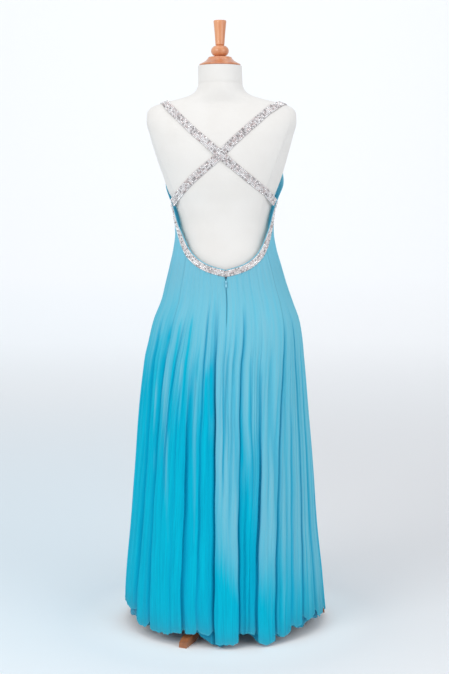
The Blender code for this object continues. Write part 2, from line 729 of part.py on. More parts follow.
def build():
    for obj in list(bpy.data.objects):
        bpy.data.objects.remove(obj)
    panels = [make_panel(name, first, last) for name, (first, last) in PANELS.items()]
    for name, (first, last) in UNDER_PANELS.items():
        make_under_panel(name, first, last)
    form = make_form()
    bpy.context.view_layer.update()
    cloth = surface_of(*panels)
    make_trim("back_trim_left", 1, cloth)
    make_trim("back_trim_right", -1, cloth)
    body = surface_of(form)
    make_strap("strap_over", 1, STRAP_THICKNESS + 0.0012, body)
    make_strap("strap_under", -1, 0.0, body)
    make_zip_tape()
    pin_out = make_slider()
    make_pull(pin_out)
    make_hook()
    make_turned("neck_cap", CAP_PLATE, AXIS_SIDE, "wood", 28)
    make_turned("cap_handle", CAP_HANDLE, AXIS_SIDE, "wood", 20)
    make_turned("pole", POLE, 0.0, "dark wood", 16)
    for number, angle in enumerate(LEG_ANGLES, 1):
        make_leg(f"leg_{number}", angle)


build()
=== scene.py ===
import bpy, bmesh, math
import numpy as np
from mathutils import Matrix, Vector
from mathutils.bvhtree import BVHTree


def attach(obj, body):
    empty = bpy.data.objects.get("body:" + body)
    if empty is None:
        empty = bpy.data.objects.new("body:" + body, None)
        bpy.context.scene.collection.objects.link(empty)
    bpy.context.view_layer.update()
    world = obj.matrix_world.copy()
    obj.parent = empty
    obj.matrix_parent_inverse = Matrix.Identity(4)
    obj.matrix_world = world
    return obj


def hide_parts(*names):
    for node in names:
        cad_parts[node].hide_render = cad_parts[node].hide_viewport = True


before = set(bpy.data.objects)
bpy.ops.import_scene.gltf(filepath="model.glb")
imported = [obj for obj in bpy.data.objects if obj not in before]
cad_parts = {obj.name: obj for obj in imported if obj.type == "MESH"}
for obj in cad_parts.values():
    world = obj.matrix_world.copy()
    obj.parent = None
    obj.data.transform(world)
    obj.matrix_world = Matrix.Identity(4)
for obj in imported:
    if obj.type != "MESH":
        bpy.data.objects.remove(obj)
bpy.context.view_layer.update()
print("frame loaded", sorted(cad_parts))

# Angles go round the body in degrees: 0 at the centre back, 90 at +X, 180 at the centre front

gown = {
    "thickness": 0.0007,
    "hemZone": 0.87,            # level rows of cloth below this height
    "columnsPerFold": {"back": 30, "front": 18},
    "lowRows": 80,
    "highRows": 26,
    "crowding": 0.72,           # how much of each fold's columns gather at its valleys
    "seamGap": 0.0006,          # the edge of a piece stops this share of a fold before the seam
    # rows at the hem: how many are rolled, their step, the least step above, share of even spacing, crowding
    "hemRows": {"rolled": 4, "step": 0.0012, "least": 0.001, "even": 0.12, "power": 1.5},
    "roll": {"out": 0.0006, "height": 0.0016, "half": 0.0012},
    "corner": {"share": 0.36, "reach": 0.026, "rise": 0.018, "least": 0.35, "flat": 0.7, "round": 2.4,
               "blend": 0.16},  # rounded ends of the folds at the hem
    "knee": 0.45, "hip": 0.84,  # heights of the fold table's angles
    "sway": {"hip": 0.80, "fade": 0.25, "waves": ((0.22, 17, 0.9), (0.14, 47, 1.3))},
    # a valley fades in below its start, is deepest further down, wavers, and widens towards the hem
    "valley": {"fadeIn": 0.10, "first": 0.30, "deepen": 0.50, "hemFrom": 0.30, "hemFade": 0.28, "waver": 0.18,
               "narrow": 0.75, "widen": 0.5, "widenFrom": 0.75, "widenOver": 0.6, "steep": 2.4,
               "shade": 1.2, "shadeLean": 1.1},
    # where a fold leans over its valley: how far, and where, in half widths of the valley
    "lip": {"reach": 1.25, "middle": 1.25, "half": 0.6, "early": 1.6},
    "crest": {"from": 0.66, "fade": 0.45},
    # dye of the crests: blend into the next, height and fade at the hem, where fuller dye starts, the most
    "dye": {"blend": 0.12, "hem": 0.06, "hemFade": 0.22, "late": 0.66, "wander": 0.09, "lateFade": 0.25,
            "most": 0.5},
    # how high the cloth is thin: everywhere, and further at one corner with its angle and half width
    "sheer": {"height": 0.022, "more": 0.035, "angle": -74, "half": 15, "hem": 0.0035},
    # height, half width, back depth, front depth, sideways shift, squareness
    "sections": (
        (0.000, 0.2672, 0.262, 0.262, -0.003, 2.0),
        (0.111, 0.2604, 0.252, 0.252, 0.001, 2.0),
        (0.258, 0.2457, 0.236, 0.236, 0.002, 2.0),
        (0.402, 0.2340, 0.219, 0.218, 0.0016, 2.0),
        (0.545, 0.2216, 0.199, 0.195, 0.0022, 2.0),
        (0.687, 0.2068, 0.173, 0.164, 0.0003, 2.05),
        (0.734, 0.1990, 0.162, 0.151, -0.003, 2.1),
        (0.785, 0.1885, 0.146, 0.135, -0.005, 2.15),
        (0.837, 0.1688, 0.127, 0.116, -0.006, 2.2),
        (0.878, 0.1565, 0.116, 0.107, -0.004, 2.2),
        (0.930, 0.1425, 0.106, 0.100, -0.0025, 2.2),
        (0.971, 0.1320, 0.100, 0.097, -0.001, 2.2),
        (1.012, 0.1263, 0.097, 0.097, 0.000, 2.2),
        (1.053, 0.1280, 0.098, 0.101, 0.0016, 2.25),
        (1.094, 0.1375, 0.104, 0.108, 0.0016, 2.3),
        (1.131, 0.1520, 0.110, 0.116, 0.001, 2.3),
        (1.165, 0.1620, 0.112, 0.120, 0.002, 2.35),
        (1.200, 0.1720, 0.110, 0.117, 0.004, 2.4),
        (1.250, 0.1850, 0.104, 0.104, 0.006, 2.4),
    ),
    # upper edge: angle from the centre back, height
    "edge": (
        (0, 0.921), (17, 0.935), (35, 0.961), (51, 0.997), (66, 1.036), (74, 1.063), (77, 1.083),
        (84, 1.105), (93, 1.137), (105, 1.166), (120, 1.196), (132, 1.224), (141, 1.237), (150, 1.216),
        (165, 1.166), (180, 1.132),
    ),
    # how much lower the armhole's edge hangs: angle, on the left, on the right
    "armholeSag": (
        (77, 0, 0), (84, 0.007, 0.003), (93, 0.019, 0.009), (105, 0.024, 0.014), (120, 0.012, 0.008),
        (132, 0, 0),
    ),
    # each valley: its angle at hip, knee and hem, depth, half width, then the crest after it: inset and hem
    # height, then the height where the valley starts, how far its right side hangs over it, the share of its
    # depth that is left at the hem, and how pale and how crinkled the crest after it is
    "folds": (
        (92, 92, 94, 0.009, 0.004, 0.002, 0.045, 0.8, 0.5, 1, 0, 0.6),
        (80, 80, 84, 0.007, 0.003, 0.001, 0.053, 0.77, -0.6, 1, -0.1, 0.6),
        (61, 58.5, 60.5, 0.01, 0.006, 0.003, 0.024, 0.845, 0.6, 1, 0, 0.7),
        (44, 47.5, 46, 0.009, 0.006, 0, 0.024, 0.855, 0.8, 1, 0.15, 0.15),
        (31.5, 40.5, 36, 0.006, 0.0035, 0, 0.024, 0.84, -0.5, 0.12, 0.05, 0.2),
        (27, 32, 31, 0.003, 0.003, 0, 0.024, 0.7, 0.3, 0.3, -0.2, 0.5),
        (21, 24.6, 24, 0.013, 0.0065, 0.007, 0.028, 0.745, -0.8, 1, -0.12, 0.4),
        (13, 15, 15.4, 0.008, 0.003, 0.006, 0.033, 0.875, -0.4, 1, -0.3, 0.6),
        (6.5, 4.9, 5.3, 0.016, 0.0056, 0, 0.012, 0.885, 1, 1, 0.5, 0.35),
        (0, 0.3, 0, 0.002, 0.002, 0, 0.012, 0.83, 0, 0, 0.5, 0.5),
        (-12.4, -9.6, -7.2, 0.01, 0.004, 0.012, 0.033, 0.875, -0.9, 1, -0.3, 1),
        (-18.5, -18, -13, 0.004, 0.003, 0.011, 0.033, 0.78, 0.5, 0.2, -0.2, 0.8),
        (-27, -24, -17.2, 0.015, 0.0055, 0, 0.006, 0.735, 0.9, 1, 0.42, 0.6),
        (-51, -37.3, -27.8, 0.013, 0.004, 0.004, 0.017, 0.845, -0.6, 1, 0.15, 1),
        (-57, -48, -39.3, 0.006, 0.0035, 0.003, 0.032, 0.64, -0.5, 1, 0.25, 0.7),
        (-62, -58.5, -48.5, 0.009, 0.004, 0.003, 0.039, 0.855, 0.5, 1, 0.1, 1),
        (-73, -68, -62, 0.007, 0.004, 0.002, 0.031, 0.76, -0.4, 1, 0.2, 0.8),
        (-84, -84, -79, 0.007, 0.003, 0.001, 0.026, 0.74, 0.3, 1, 0.1, 0.8),
        (-93, -94, -93, 0.0128, 0.004, 0.003, 0.024, 0.8, -0.6, 1, 0.1, 1),
        (-104, -105, -105, 0.016, 0.006, 0.002, 0.02, 0.82, 0.6, 1, 0, 0.6),
        (-114, -116, -116, 0.0128, 0.004, 0.005, 0.016, 0.78, -0.7, 1, -0.1, 0.8),
        (-126, -127, -126, 0.0176, 0.006, 0.002, 0.014, 0.84, 0.8, 1, 0.2, 0.4),
        (-136, -138, -138, 0.0104, 0.003, 0.006, 0.012, 0.76, 0.5, 0.6, -0.1, 0.9),
        (-149, -148, -150, 0.016, 0.006, 0.001, 0.012, 0.82, -0.7, 1, 0.2, 0.5),
        (-158, -160, -159, 0.0128, 0.004, 0.004, 0.01, 0.8, 0.5, 1, 0, 0.8),
        (-171, -170, -171, 0.016, 0.005, 0.001, 0.01, 0.84, -0.6, 1, 0.3, 0.35),
        (-182, -182, -182, 0.0104, 0.003, 0.003, 0.01, 0.74, 0.4, 0.5, 0.2, 0.9),
        (-192, -193, -192, 0.016, 0.006, 0.002, 0.01, 0.82, -0.8, 1, -0.1, 0.6),
        (-205, -204, -205, 0.0128, 0.004, 0.005, 0.012, 0.8, 0.6, 1, 0.1, 0.8),
        (-214, -216, -217, 0.0144, 0.005, 0.002, 0.012, 0.78, 0.4, 1, 0, 0.5),
        (-227, -227, -226, 0.0176, 0.006, 0.003, 0.014, 0.84, -0.7, 1, 0.2, 0.9),
        (-238, -239, -238, 0.0104, 0.003, 0.002, 0.016, 0.76, 0.6, 0.7, -0.1, 0.6),
        (-247, -248, -248, 0.0144, 0.005, 0.003, 0.018, 0.8, 0.5, 1, 0.1, 0.8),
        (-258, -258, -257, 0.0112, 0.004, 0.004, 0.02, 0.78, -0.5, 1, 0, 0.7),
    ),
    # piece, first and last valley, flat width and length of the cut, its area
    "panels": (
        ("side_panel_left", 0, 3, 0.27, 1.16, 0.167),
        ("back_panel_left", 3, 9, 0.30, 1.00, 0.189),
        ("back_panel_right", 9, 13, 0.23, 1.00, 0.162),
        ("side_panel_right", 13, 18, 0.40, 1.16, 0.210),
        ("front_panel", 18, 34, 1.12, 1.25, 0.781),
    ),
    # soft seams and gathers that run down from the back edge: angle, top, bottom, depth, width in degrees
    "creases": (
        (46.5, 1.00, 0.80, 0.0013, 1.4), (12.9, 0.925, 0.80, 0.0013, 1.0), (-13.7, 0.925, 0.82, 0.0013, 1.0),
        (-31, 0.97, 0.77, 0.0013, 1.3), (5.5, 0.915, 0.85, 0.0008, 1.0), (-5.0, 0.915, 0.86, 0.0007, 1.0),
        (24, 0.94, 0.83, 0.0009, 1.4), (-22, 0.94, 0.82, 0.0008, 1.3), (9.2, 0.915, 0.87, 0.0006, 0.8),
        (-9.5, 0.915, 0.87, 0.0006, 0.8), (33, 0.95, 0.82, 0.0008, 1.4), (18, 0.93, 0.86, 0.0006, 1.0),
        (39, 0.97, 0.86, 0.0007, 1.4), (-40, 0.97, 0.84, 0.0009, 1.6), (-48, 1.00, 0.86, 0.0007, 1.6),
        (58, 1.02, 0.86, 0.0008, 1.8), (0, 0.905, 0.77, 0.0017, 0.45),
    ),
    # streaks of fuller dye, or of paler dye where the strength is below 0: angle at top and bottom, top,
    # bottom, half width in degrees, strength
    "streaks": (
        (2.5, 3.0, 0.835, 0.715, 1.0, 0.60), (8.5, 7.5, 0.700, 0.540, 1.6, 0.45),
        (11.5, 12.5, 0.680, 0.400, 1.5, 0.50), (22.5, 23.5, 0.620, 0.300, 1.3, 0.35),
        (25.5, 29.5, 0.810, 0.480, 1.4, 0.50), (36, 39, 0.800, 0.500, 1.6, 0.50),
        (46, 50, 0.780, 0.450, 2.0, 0.45), (58, 62, 0.760, 0.300, 4.0, 0.35),
        (-7.6, -8.2, 0.690, 0.560, 1.0, 0.45), (-10.8, -11.5, 0.640, 0.420, 1.5, 0.45),
        (-17.5, -16.5, 0.730, 0.500, 1.0, 0.40), (-25, -24, 0.56, 0.30, 1.5, 0.3),
        (-5.4, -5.0, 0.800, 0.500, 0.7, 0.22), (-38, -33, 0.60, 0.25, 1.5, 0.3),
        (-70, -76, 0.300, -0.100, 11, -0.42), (45.5, 33.0, 0.740, 0.200, 2.1, -0.50),
        (19.5, 17.8, 0.660, 0.200, 1.3, -0.50), (30.5, 28.5, 0.700, 0.480, 1.5, -0.30),
        (53, 49, 0.640, 0.380, 1.6, -0.35),
    ),
    # dips and crinkles: how many in a fold, height where they start, depth, sharpness
    "ripples": (
        (1.55, 0.84, 0.0030, 3), (2.3, 0.80, 0.0026, 4), (3.1, 0.87, 0.0017, 4), (4.7, 0.82, 0.0012, 3),
        (7.3, 0.90, 0.0006, 2), (11.9, 0.90, 0.00035, 1),
    ),
    # valley numbers of the seams and how dark they look, half width, where they start and their fade
    "seamLines": {"valleys": ((9, 1.0), (3, 0.45), (13, 0.45)), "half": 0.0009, "from": 0.77, "fade": 0.03},
    "bust": {"height": 1.150, "angle": 144, "reach": 0.018, "tall": 0.055, "wide": 26},
    "legs": {"angles": (22.6, 142.6, 262.6), "half": 6, "fade": 7, "height": 0.032},  # the hem clears them
}


def bell(away, width):
    return np.exp(-(away / width) ** 2)


def ease(value):
    value = np.clip(value, 0, 1)
    return value * value * (3 - 2 * value)


def meanSlope(a, b):
    # harmonic mean of two slopes of the same direction, else level
    same = a * b > 0
    return np.where(same, 2 * a * b / np.where(same, a + b, 1), 0)


def cubic(t, width, low, high, lowSlope, highSlope):
    # the curve between two points with these slopes
    return ((1 + 2 * t) * (1 - t) ** 2 * low + t * (1 - t) ** 2 * width * lowSlope
            + t * t * (3 - 2 * t) * high + t * t * (t - 1) * width * highSlope)


def smoothCurve(xs, ys, at):
    # monotone cubic through the points, level past its ends
    xs, ys = np.asarray(xs, float), np.asarray(ys, float)
    at = np.clip(np.asarray(at, float), xs[0], xs[-1])
    steps = np.diff(ys) / np.diff(xs)
    tangents = np.concatenate([steps[:1], meanSlope(steps[:-1], steps[1:]), steps[-1:]])
    i = np.clip(np.searchsorted(xs, at, side="right") - 1, 0, len(xs) - 2)
    width = xs[i + 1] - xs[i]
    return cubic((at - xs[i]) / width, width, ys[i], ys[i + 1], tangents[i], tangents[i + 1])


def turnBetween(angle, at=0.0):
    # signed degrees from one place round the body to another
    return (np.asarray(angle, float) - at + 180) % 360 - 180


def bustOut(angle, z):
    bust = gown["bust"]
    across = bell(np.abs(turnBetween(angle)) - bust["angle"], bust["wide"])
    return bust["reach"] * across * bell(z - bust["height"], bust["tall"])


def bodyPoint(sections, angle, z, inset=0.0):
    # x, y, z arrays of a sectioned body
    table = np.array(sections).T
    halfWidth, back, front, side, square = (smoothCurve(table[0], column, z) for column in table[1:])
    sine, cosine = np.sin(np.radians(angle)), np.cos(np.radians(angle))
    depth = np.where(cosine > 0, back, front)
    x = side + (halfWidth - inset) * np.sign(sine) * np.abs(sine) ** (2 / square)
    y = (depth - inset) * np.sign(cosine) * np.abs(cosine) ** (2 / square) - bustOut(angle, z)
    return np.stack(np.broadcast_arrays(x, y, np.asarray(z, float)), axis=-1)


def surfaceFrame(sections, angle, z, turn=0.5, rise=0.002):
    # point, outward normal, and the two directions of the surface per degree and per metre
    point = bodyPoint(sections, angle, z)
    along = (bodyPoint(sections, angle + turn, z) - point) / turn
    up = (bodyPoint(sections, angle, z + rise) - point) / rise
    normal = np.cross(along, up)
    normal /= np.linalg.norm(normal, axis=-1, keepdims=True)
    outward = np.sign(np.sum(normal[..., :2] * point[..., :2], axis=-1, keepdims=True))
    return point, normal * outward, along, up


def edgeHeight(angle):
    table, sag = np.array(gown["edge"]).T, np.array(gown["armholeSag"]).T
    signed = turnBetween(angle)
    turn = np.abs(signed)
    drop = np.where(signed > 0, smoothCurve(sag[0], sag[1], turn), smoothCurve(sag[0], sag[2], turn))
    return smoothCurve(table[0], table[1], turn) - drop


def overLeg(angle):
    legs = gown["legs"]
    nearest = np.min([np.abs(turnBetween(angle, leg)) for leg in legs["angles"]], axis=0)
    return 1 - ease((nearest - legs["half"]) / legs["fade"])


foldTable = np.array(gown["folds"])
foldCount = len(foldTable)
foldColumns = ("hip", "knee", "hem", "depth", "half", "inset", "level", "start", "lean", "left", "pale",
               "crinkle")


def foldValue(index, name):
    # one column of the fold table; angles keep falling past a full turn
    turns, row = np.divmod(index, foldCount)
    value = foldTable[row, foldColumns.index(name)]
    return value - 360 * turns if name in ("hip", "knee", "hem") else value


def crestValue(place, name, blend):
    # a value of each crest, blended into its neighbours' near the valleys
    index = np.floor(place).astype(int)
    across = place - index
    here, before, after = (foldValue(index + k, name) for k in (0, -1, 1))
    return (here + (before - here) / 2 * (1 - ease(across / blend))
            + (after - here) / 2 * ease((across - 1 + blend) / blend))


def valleyAngle(index, z):
    hem, knee, hip = (foldValue(index, name) for name in ("hem", "knee", "hip"))
    low, high, sway = gown["knee"], gown["hip"], gown["sway"]
    height = np.clip(z, 0, high)
    lowSlope, highSlope = (knee - hem) / low, (hip - knee) / (high - low)
    middle = meanSlope(lowSlope, highSlope)
    below = height < low
    start, width = np.where(below, 0, low), np.where(below, low, high - low)
    curve = cubic((height - start) / width, width, np.where(below, hem, knee), np.where(below, knee, hip),
                  np.where(below, lowSlope, middle), np.where(below, middle, highSlope))
    waves = sum(size * np.sin(z * perMetre + index * perFold) for size, perMetre, perFold in sway["waves"])
    return waves * ease((sway["hip"] - z) / sway["fade"]) + curve


def besideValleys(place, z):
    # the valley before a place in the cloth, its angle and radius, and metres to that valley and the next
    index = np.floor(place).astype(int)
    across = place - index
    near, far = valleyAngle(index, z), valleyAngle(index + 1, z)
    heights, halfWidths = np.array(gown["sections"]).T[:2]
    radius = smoothCurve(heights, halfWidths, z)
    gap = (near - far) * np.pi / 180 * radius
    return index, near + (far - near) * across, radius, gap * across, gap * (1 - across)


def valleyShape(index, away, z):
    # how deep a valley is at a height, from 0 to 1, and how near its middle
    v = gown["valley"]
    below = foldValue(index, "start") - z
    left = foldValue(index, "left")
    grown = ease(below / v["fadeIn"]) * (v["first"] + (1 - v["first"]) * ease(below / v["deepen"]))
    grown = grown * (left + (1 - left) * ease((z - v["hemFrom"]) / v["hemFade"]))
    wave = np.sin(z * 13 + index * 2.4) * ease((z - 0.06) / 0.1)
    grown = grown * (1 - v["waver"] + v["waver"] * wave)
    wider = v["widen"] * ease((v["widenFrom"] - z) / v["widenOver"])
    width = foldValue(index, "half") * (v["narrow"] + wider)
    return grown, away / width, width


def foldPlace(place, z, overhang=0.0):
    # the angle of a place in the cloth, moved where a fold leans over its valley
    lip = gown["lip"]
    index, angle, radius, left, right = besideValleys(place, z)
    for valley, away, side in ((index, left, 1), (index + 1, right, -1)):
        grown, share, width = valleyShape(valley, away, z)
        lean = np.clip(foldValue(valley, "lean") * side, 0, 1)
        moved = overhang * lean * width * bell(share - lip["middle"], lip["half"])
        moved = moved * ease(grown * lip["early"])
        angle = angle + side * moved / radius * 180 / np.pi
    return angle


def foldInset(place, z):
    # how far the cloth lies inside the body's outline, and how near to a valley it is, from 0 to 1; the
    # nearness becomes painted shade in the colour, and painted shadow where a fold leans over its valley
    v, crest = gown["valley"], gown["crest"]
    index, angle, radius, left, right = besideValleys(place, z)
    inset, near = 0, 0
    for valley, away, side in ((index, left, -1), (index + 1, right, 1)):
        grown, share, width = valleyShape(valley, away, z)
        inset = inset + foldValue(valley, "depth") * np.exp(-share ** v["steep"]) * grown
        lean = np.clip(foldValue(valley, "lean") * side, 0, 1)
        near = near + bell(share, v["shade"] + v["shadeLean"] * lean) * ease(grown * 2)
    near = np.clip(near, 0, 1)
    return inset + foldValue(index, "inset") * ease((crest["from"] - z) / crest["fade"]) * (1 - near), near


def crestPale(place, z):
    # paler or deeper dye on each crest, with the streaks
    dye = gown["dye"]
    tone = crestValue(place, "pale", dye["blend"])
    late = dye["late"] + dye["wander"] * np.sin(np.floor(place) * 2.3)
    fuller = np.where(tone < 0, ease((late - z) / dye["lateFade"]), 1)
    tone = tone * ease((z - dye["hem"]) / dye["hemFade"]) * fuller
    angle = foldPlace(place, z)
    for high, low, top, bottom, wide, strength in gown["streaks"]:
        at = high + (low - high) * (top - z) / (top - bottom)
        ends = ease((top + 0.02 - z) / 0.05) * ease((z - bottom) / 0.06)
        tone = tone - strength * bell(angle - at, wide) * ends
    return np.clip(tone, -dye["most"], dye["most"])


def seamLine(place, z):
    # the zip's closed seam and, fainter, the princess seams
    seams = gown["seamLines"]
    index, angle, radius, left, right = besideValleys(place, z)
    line = np.zeros(place.shape)
    for seam, strength in seams["valleys"]:
        away = np.where(index == seam, left, np.where(index == seam - 1, right, 1))
        line += strength * bell(away, seams["half"]) * ease((z - seams["from"]) / seams["fade"])
    return line


def hemHeight(place):
    # each fold's own height with rounded ends, and clear of the stand's legs
    corner = gown["corner"]
    index, angle, radius, left, right = besideValleys(place, np.zeros_like(place))
    level = crestValue(place, "level", corner["blend"])
    reach = np.minimum(corner["share"] * (left + right), corner["reach"])
    rise = corner["rise"] * (corner["least"] + (1 - corner["least"]) * reach / corner["reach"])
    for valley, away in ((index, left), (index + 1, right)):
        bend = np.clip(1 - (away - corner["flat"] * foldValue(valley, "half")) / reach, 0, 1)
        level = level + rise * bend ** corner["round"] * foldValue(valley, "left")
    level = level + 0.0010 * np.sin(place * 13)  # slightly uneven
    return np.maximum(level, gown["legs"]["height"] * overLeg(angle))


def ripples(place, z):
    # narrow dips and fine crinkles that run down the cloth, in metres; the sines make each one differ
    wave = np.zeros(np.broadcast(place, z).shape)
    for count, (per, top, depth, narrow) in enumerate(gown["ripples"]):
        bend = 0.9 * np.sin(place * 0.71 + count * 2.1)
        bend = bend + 0.35 * np.sin(place * 2.3 + count) * np.cos(z * 3.1 + count)
        phase = np.pi * (per * place + bend + 0.25 * np.sin(z * 5.3 + place * 0.8 + count * 1.9))
        strength = np.clip(0.55 + 0.6 * np.sin(place * (1.9 + 0.37 * count) + 4.2 * z + count * 2.7), 0, 1)
        late = top - 0.10 * (0.5 + 0.5 * np.sin(place * 5.1 + count * 3.3))
        wave += depth * np.cos(phase) ** (2 * narrow) * strength * ease((late - z) / 0.16)
    smooth = 1 - foldValue(np.floor(place).astype(int), "crinkle")
    return wave * (1 - smooth * ease((0.55 - z) / 0.30))


def creaseDepth(angle, z):
    depth = np.zeros(np.broadcast(angle, z).shape)
    for at, top, bottom, deep, width in gown["creases"]:
        fade = ease((z - bottom) / 0.05) * ease((top + 0.03 - z) / 0.03)
        depth += deep * fade * bell(angle - at, width)
    return depth


def gridPiece(name, columns, rows, settle):
    # a flat grid of cloth; settle lays it out on the body and gives the values kept on the mesh
    bm = bmesh.new()
    bmesh.ops.create_grid(bm, x_segments=columns, y_segments=rows, size=0.5)
    uvLayer = bm.loops.layers.uv.new("UVMap")
    across = np.array([round((v.co.x + 0.5) * columns) for v in bm.verts])
    upward = np.array([round((v.co.y + 0.5) * rows) for v in bm.verts])
    spots, values = settle(across / columns, upward / rows)
    for vert, spot in zip(bm.verts, spots):
        vert.co = spot
    for face in bm.faces:
        for loop in face.loops:
            i = loop.vert.index
            loop[uvLayer].uv = (across[i] / columns, upward[i] / rows)
    for key, numbers in values.items():
        layer = bm.verts.layers.float.new(key)
        for vert, number in zip(bm.verts, numbers):
            vert[layer] = float(number)
    return pieceFrom(name, bm, sharp=None)


def giveWall(piece, thickness, inside=0):
    # wall thickness inward from the outer face; inside picks the material of the inner face
    wall = piece.modifiers.new("Wall", "SOLIDIFY")
    wall.thickness = thickness
    wall.offset = -1.0
    wall.material_offset = inside
    wall.use_even_offset = False


def pieceFrom(name, bm, smooth=True, sharp=38):
    mesh = bpy.data.meshes.new(name)
    bm.to_mesh(mesh)
    bm.free()
    if smooth:
        mesh.shade_smooth()
    if smooth and sharp:
        mesh.set_sharp_from_angle(angle=math.radians(sharp))
    piece = bpy.data.objects.new(name, mesh)
    bpy.context.scene.collection.objects.link(piece)
    return piece


def finishPiece(piece, material, body, slotName, *nodes):
    piece.data.materials.clear()
    piece.data.materials.append(material)
    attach(piece, body)
    if nodes:
        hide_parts(*nodes)
    return piece


class Shader:
    # short way to add and link the nodes of one material
    def __init__(self, name):
        self.material = bpy.data.materials.new(name)
        self.material.use_nodes = True
        self.tree = self.material.node_tree
        self.principled = self.tree.nodes["Principled BSDF"]
        self.coords = self.tree.nodes.new("ShaderNodeTexCoord")

    def add(self, kind, links=None, **settings):
        node = self.tree.nodes.new("ShaderNode" + kind)
        for key, value in settings.items():
            setattr(node, key, value)
        for socket, source in (links or {}).items():
            self.put(node.inputs[socket], source)
        return node

    def put(self, socket, source):
        if isinstance(source, bpy.types.NodeSocket):
            self.tree.links.new(source, socket)
        else:
            socket.default_value = source

    def set(self, **values):
        for key, source in values.items():
            self.put(self.principled.inputs[key.replace("_", " ")], source)

    def noise(self, scale, detail=3.0, stretch=(1, 1, 1), roughness=0.5):
        mapping = self.add("Mapping", {"Vector": self.coords.outputs["Object"], "Scale": stretch})
        made = self.add("TexNoise", {"Vector": mapping.outputs[0], "Scale": scale, "Detail": detail,
                                     "Roughness": roughness})
        return made.outputs["Fac"]

    def range(self, value, low, high, toLow=0.0, toHigh=1.0):
        made = self.add("MapRange", {"Value": value, "From Min": low, "From Max": high, "To Min": toLow,
                                     "To Max": toHigh}, interpolation_type="SMOOTHSTEP")
        return made.outputs["Result"]

    def math(self, operation, a, b=0.0):
        return self.add("Math", {0: a, 1: b}, operation=operation).outputs[0]

    def times(self, a, b):
        return self.math("MULTIPLY", a, b)

    def plus(self, *values):
        total = values[0]
        for value in values[1:]:
            total = self.math("ADD", total, value)
        return total

    def around(self, value, share):
        # noise as a swing about zero
        return self.times(self.math("SUBTRACT", value, 0.5), share)

    def mix(self, factor, a, b):
        # 6, 7 and 2 are the colour sockets of this node
        made = self.add("Mix", {"Factor": factor}, data_type="RGBA")
        self.put(made.inputs[6], a)
        self.put(made.inputs[7], b)
        return made.outputs[2]

    def stored(self, name):
        # a value kept on the mesh
        return self.add("Attribute", attribute_name=name).outputs["Fac"]

    def marked(self, colour, name, share, tone):
        # another colour where a value is kept on the mesh
        return self.mix(self.times(self.stored(name), share), colour, rgb(*tone))

    def thinAtHem(self, share):
        self.set(Alpha=self.math("SUBTRACT", 1.0, self.times(self.stored("sheer"), share)))

    def letLightThrough(self, colour, share):
        # light from behind glows through thin cloth
        glow = self.add("BsdfTranslucent", {"Color": colour})
        both = self.add("MixShader", {0: share, 1: self.principled.outputs[0], 2: glow.outputs[0]})
        self.tree.links.new(both.outputs[0], self.tree.nodes["Material Output"].inputs["Surface"])

    def bump(self, height, strength, distance, onto=None):
        made = self.add("Bump", {"Height": height, "Strength": strength, "Distance": distance})
        if onto is not None:
            self.put(made.inputs["Normal"], onto)
        return made.outputs["Normal"]


def rgb(red, green, blue):
    # a colour picked on screen, as the linear value that shaders use
    linear = [((c / 255 + 0.055) / 1.055) ** 2.4 if c > 10 else c / 255 / 12.92 for c in (red, green, blue)]
    return (*linear, 1.0)


def clothCoords(s):
    # runs along the cloth: across the folds, and up
    xyz = s.add("SeparateXYZ", {"Vector": s.coords.outputs["Object"]})
    across, up = s.times(s.stored("place"), 0.045), s.times(xyz.outputs["Z"], 0.03)
    return xyz, s.add("CombineXYZ", {"X": across, "Y": up}).outputs[0]


def clothNoise(s, along, scale, detail=3.0, roughness=0.55):
    made = s.add("TexNoise", {"Vector": along, "Scale": scale, "Detail": detail, "Roughness": roughness})
    return made.outputs["Fac"]


dyesAndShade = {
    "pale": ((134, 209, 229), (108, 214, 238), (84, 199, 228)),   # ground, streaks, broad patches
    "full": ((0, 204, 233), (0, 184, 217), (0, 174, 209)),
    "bodice": (172, 234, 250),
    # value kept on the mesh, its share, colour; valley and dip are painted shade, in the folds' valleys and
    # in the ripples' dips
    "marks": (("dip", 0.50, (0, 186, 222)), ("valley", 0.85, (0, 172, 212)), ("seam", 0.75, (18, 112, 148)),
              ("sheer", 0.42, (92, 196, 216)), ("hem", 0.60, (104, 214, 236))),
    "underMarks": (("sheer", 0.35, (60, 176, 204)), ("hem", 0.55, (30, 170, 205))),
}


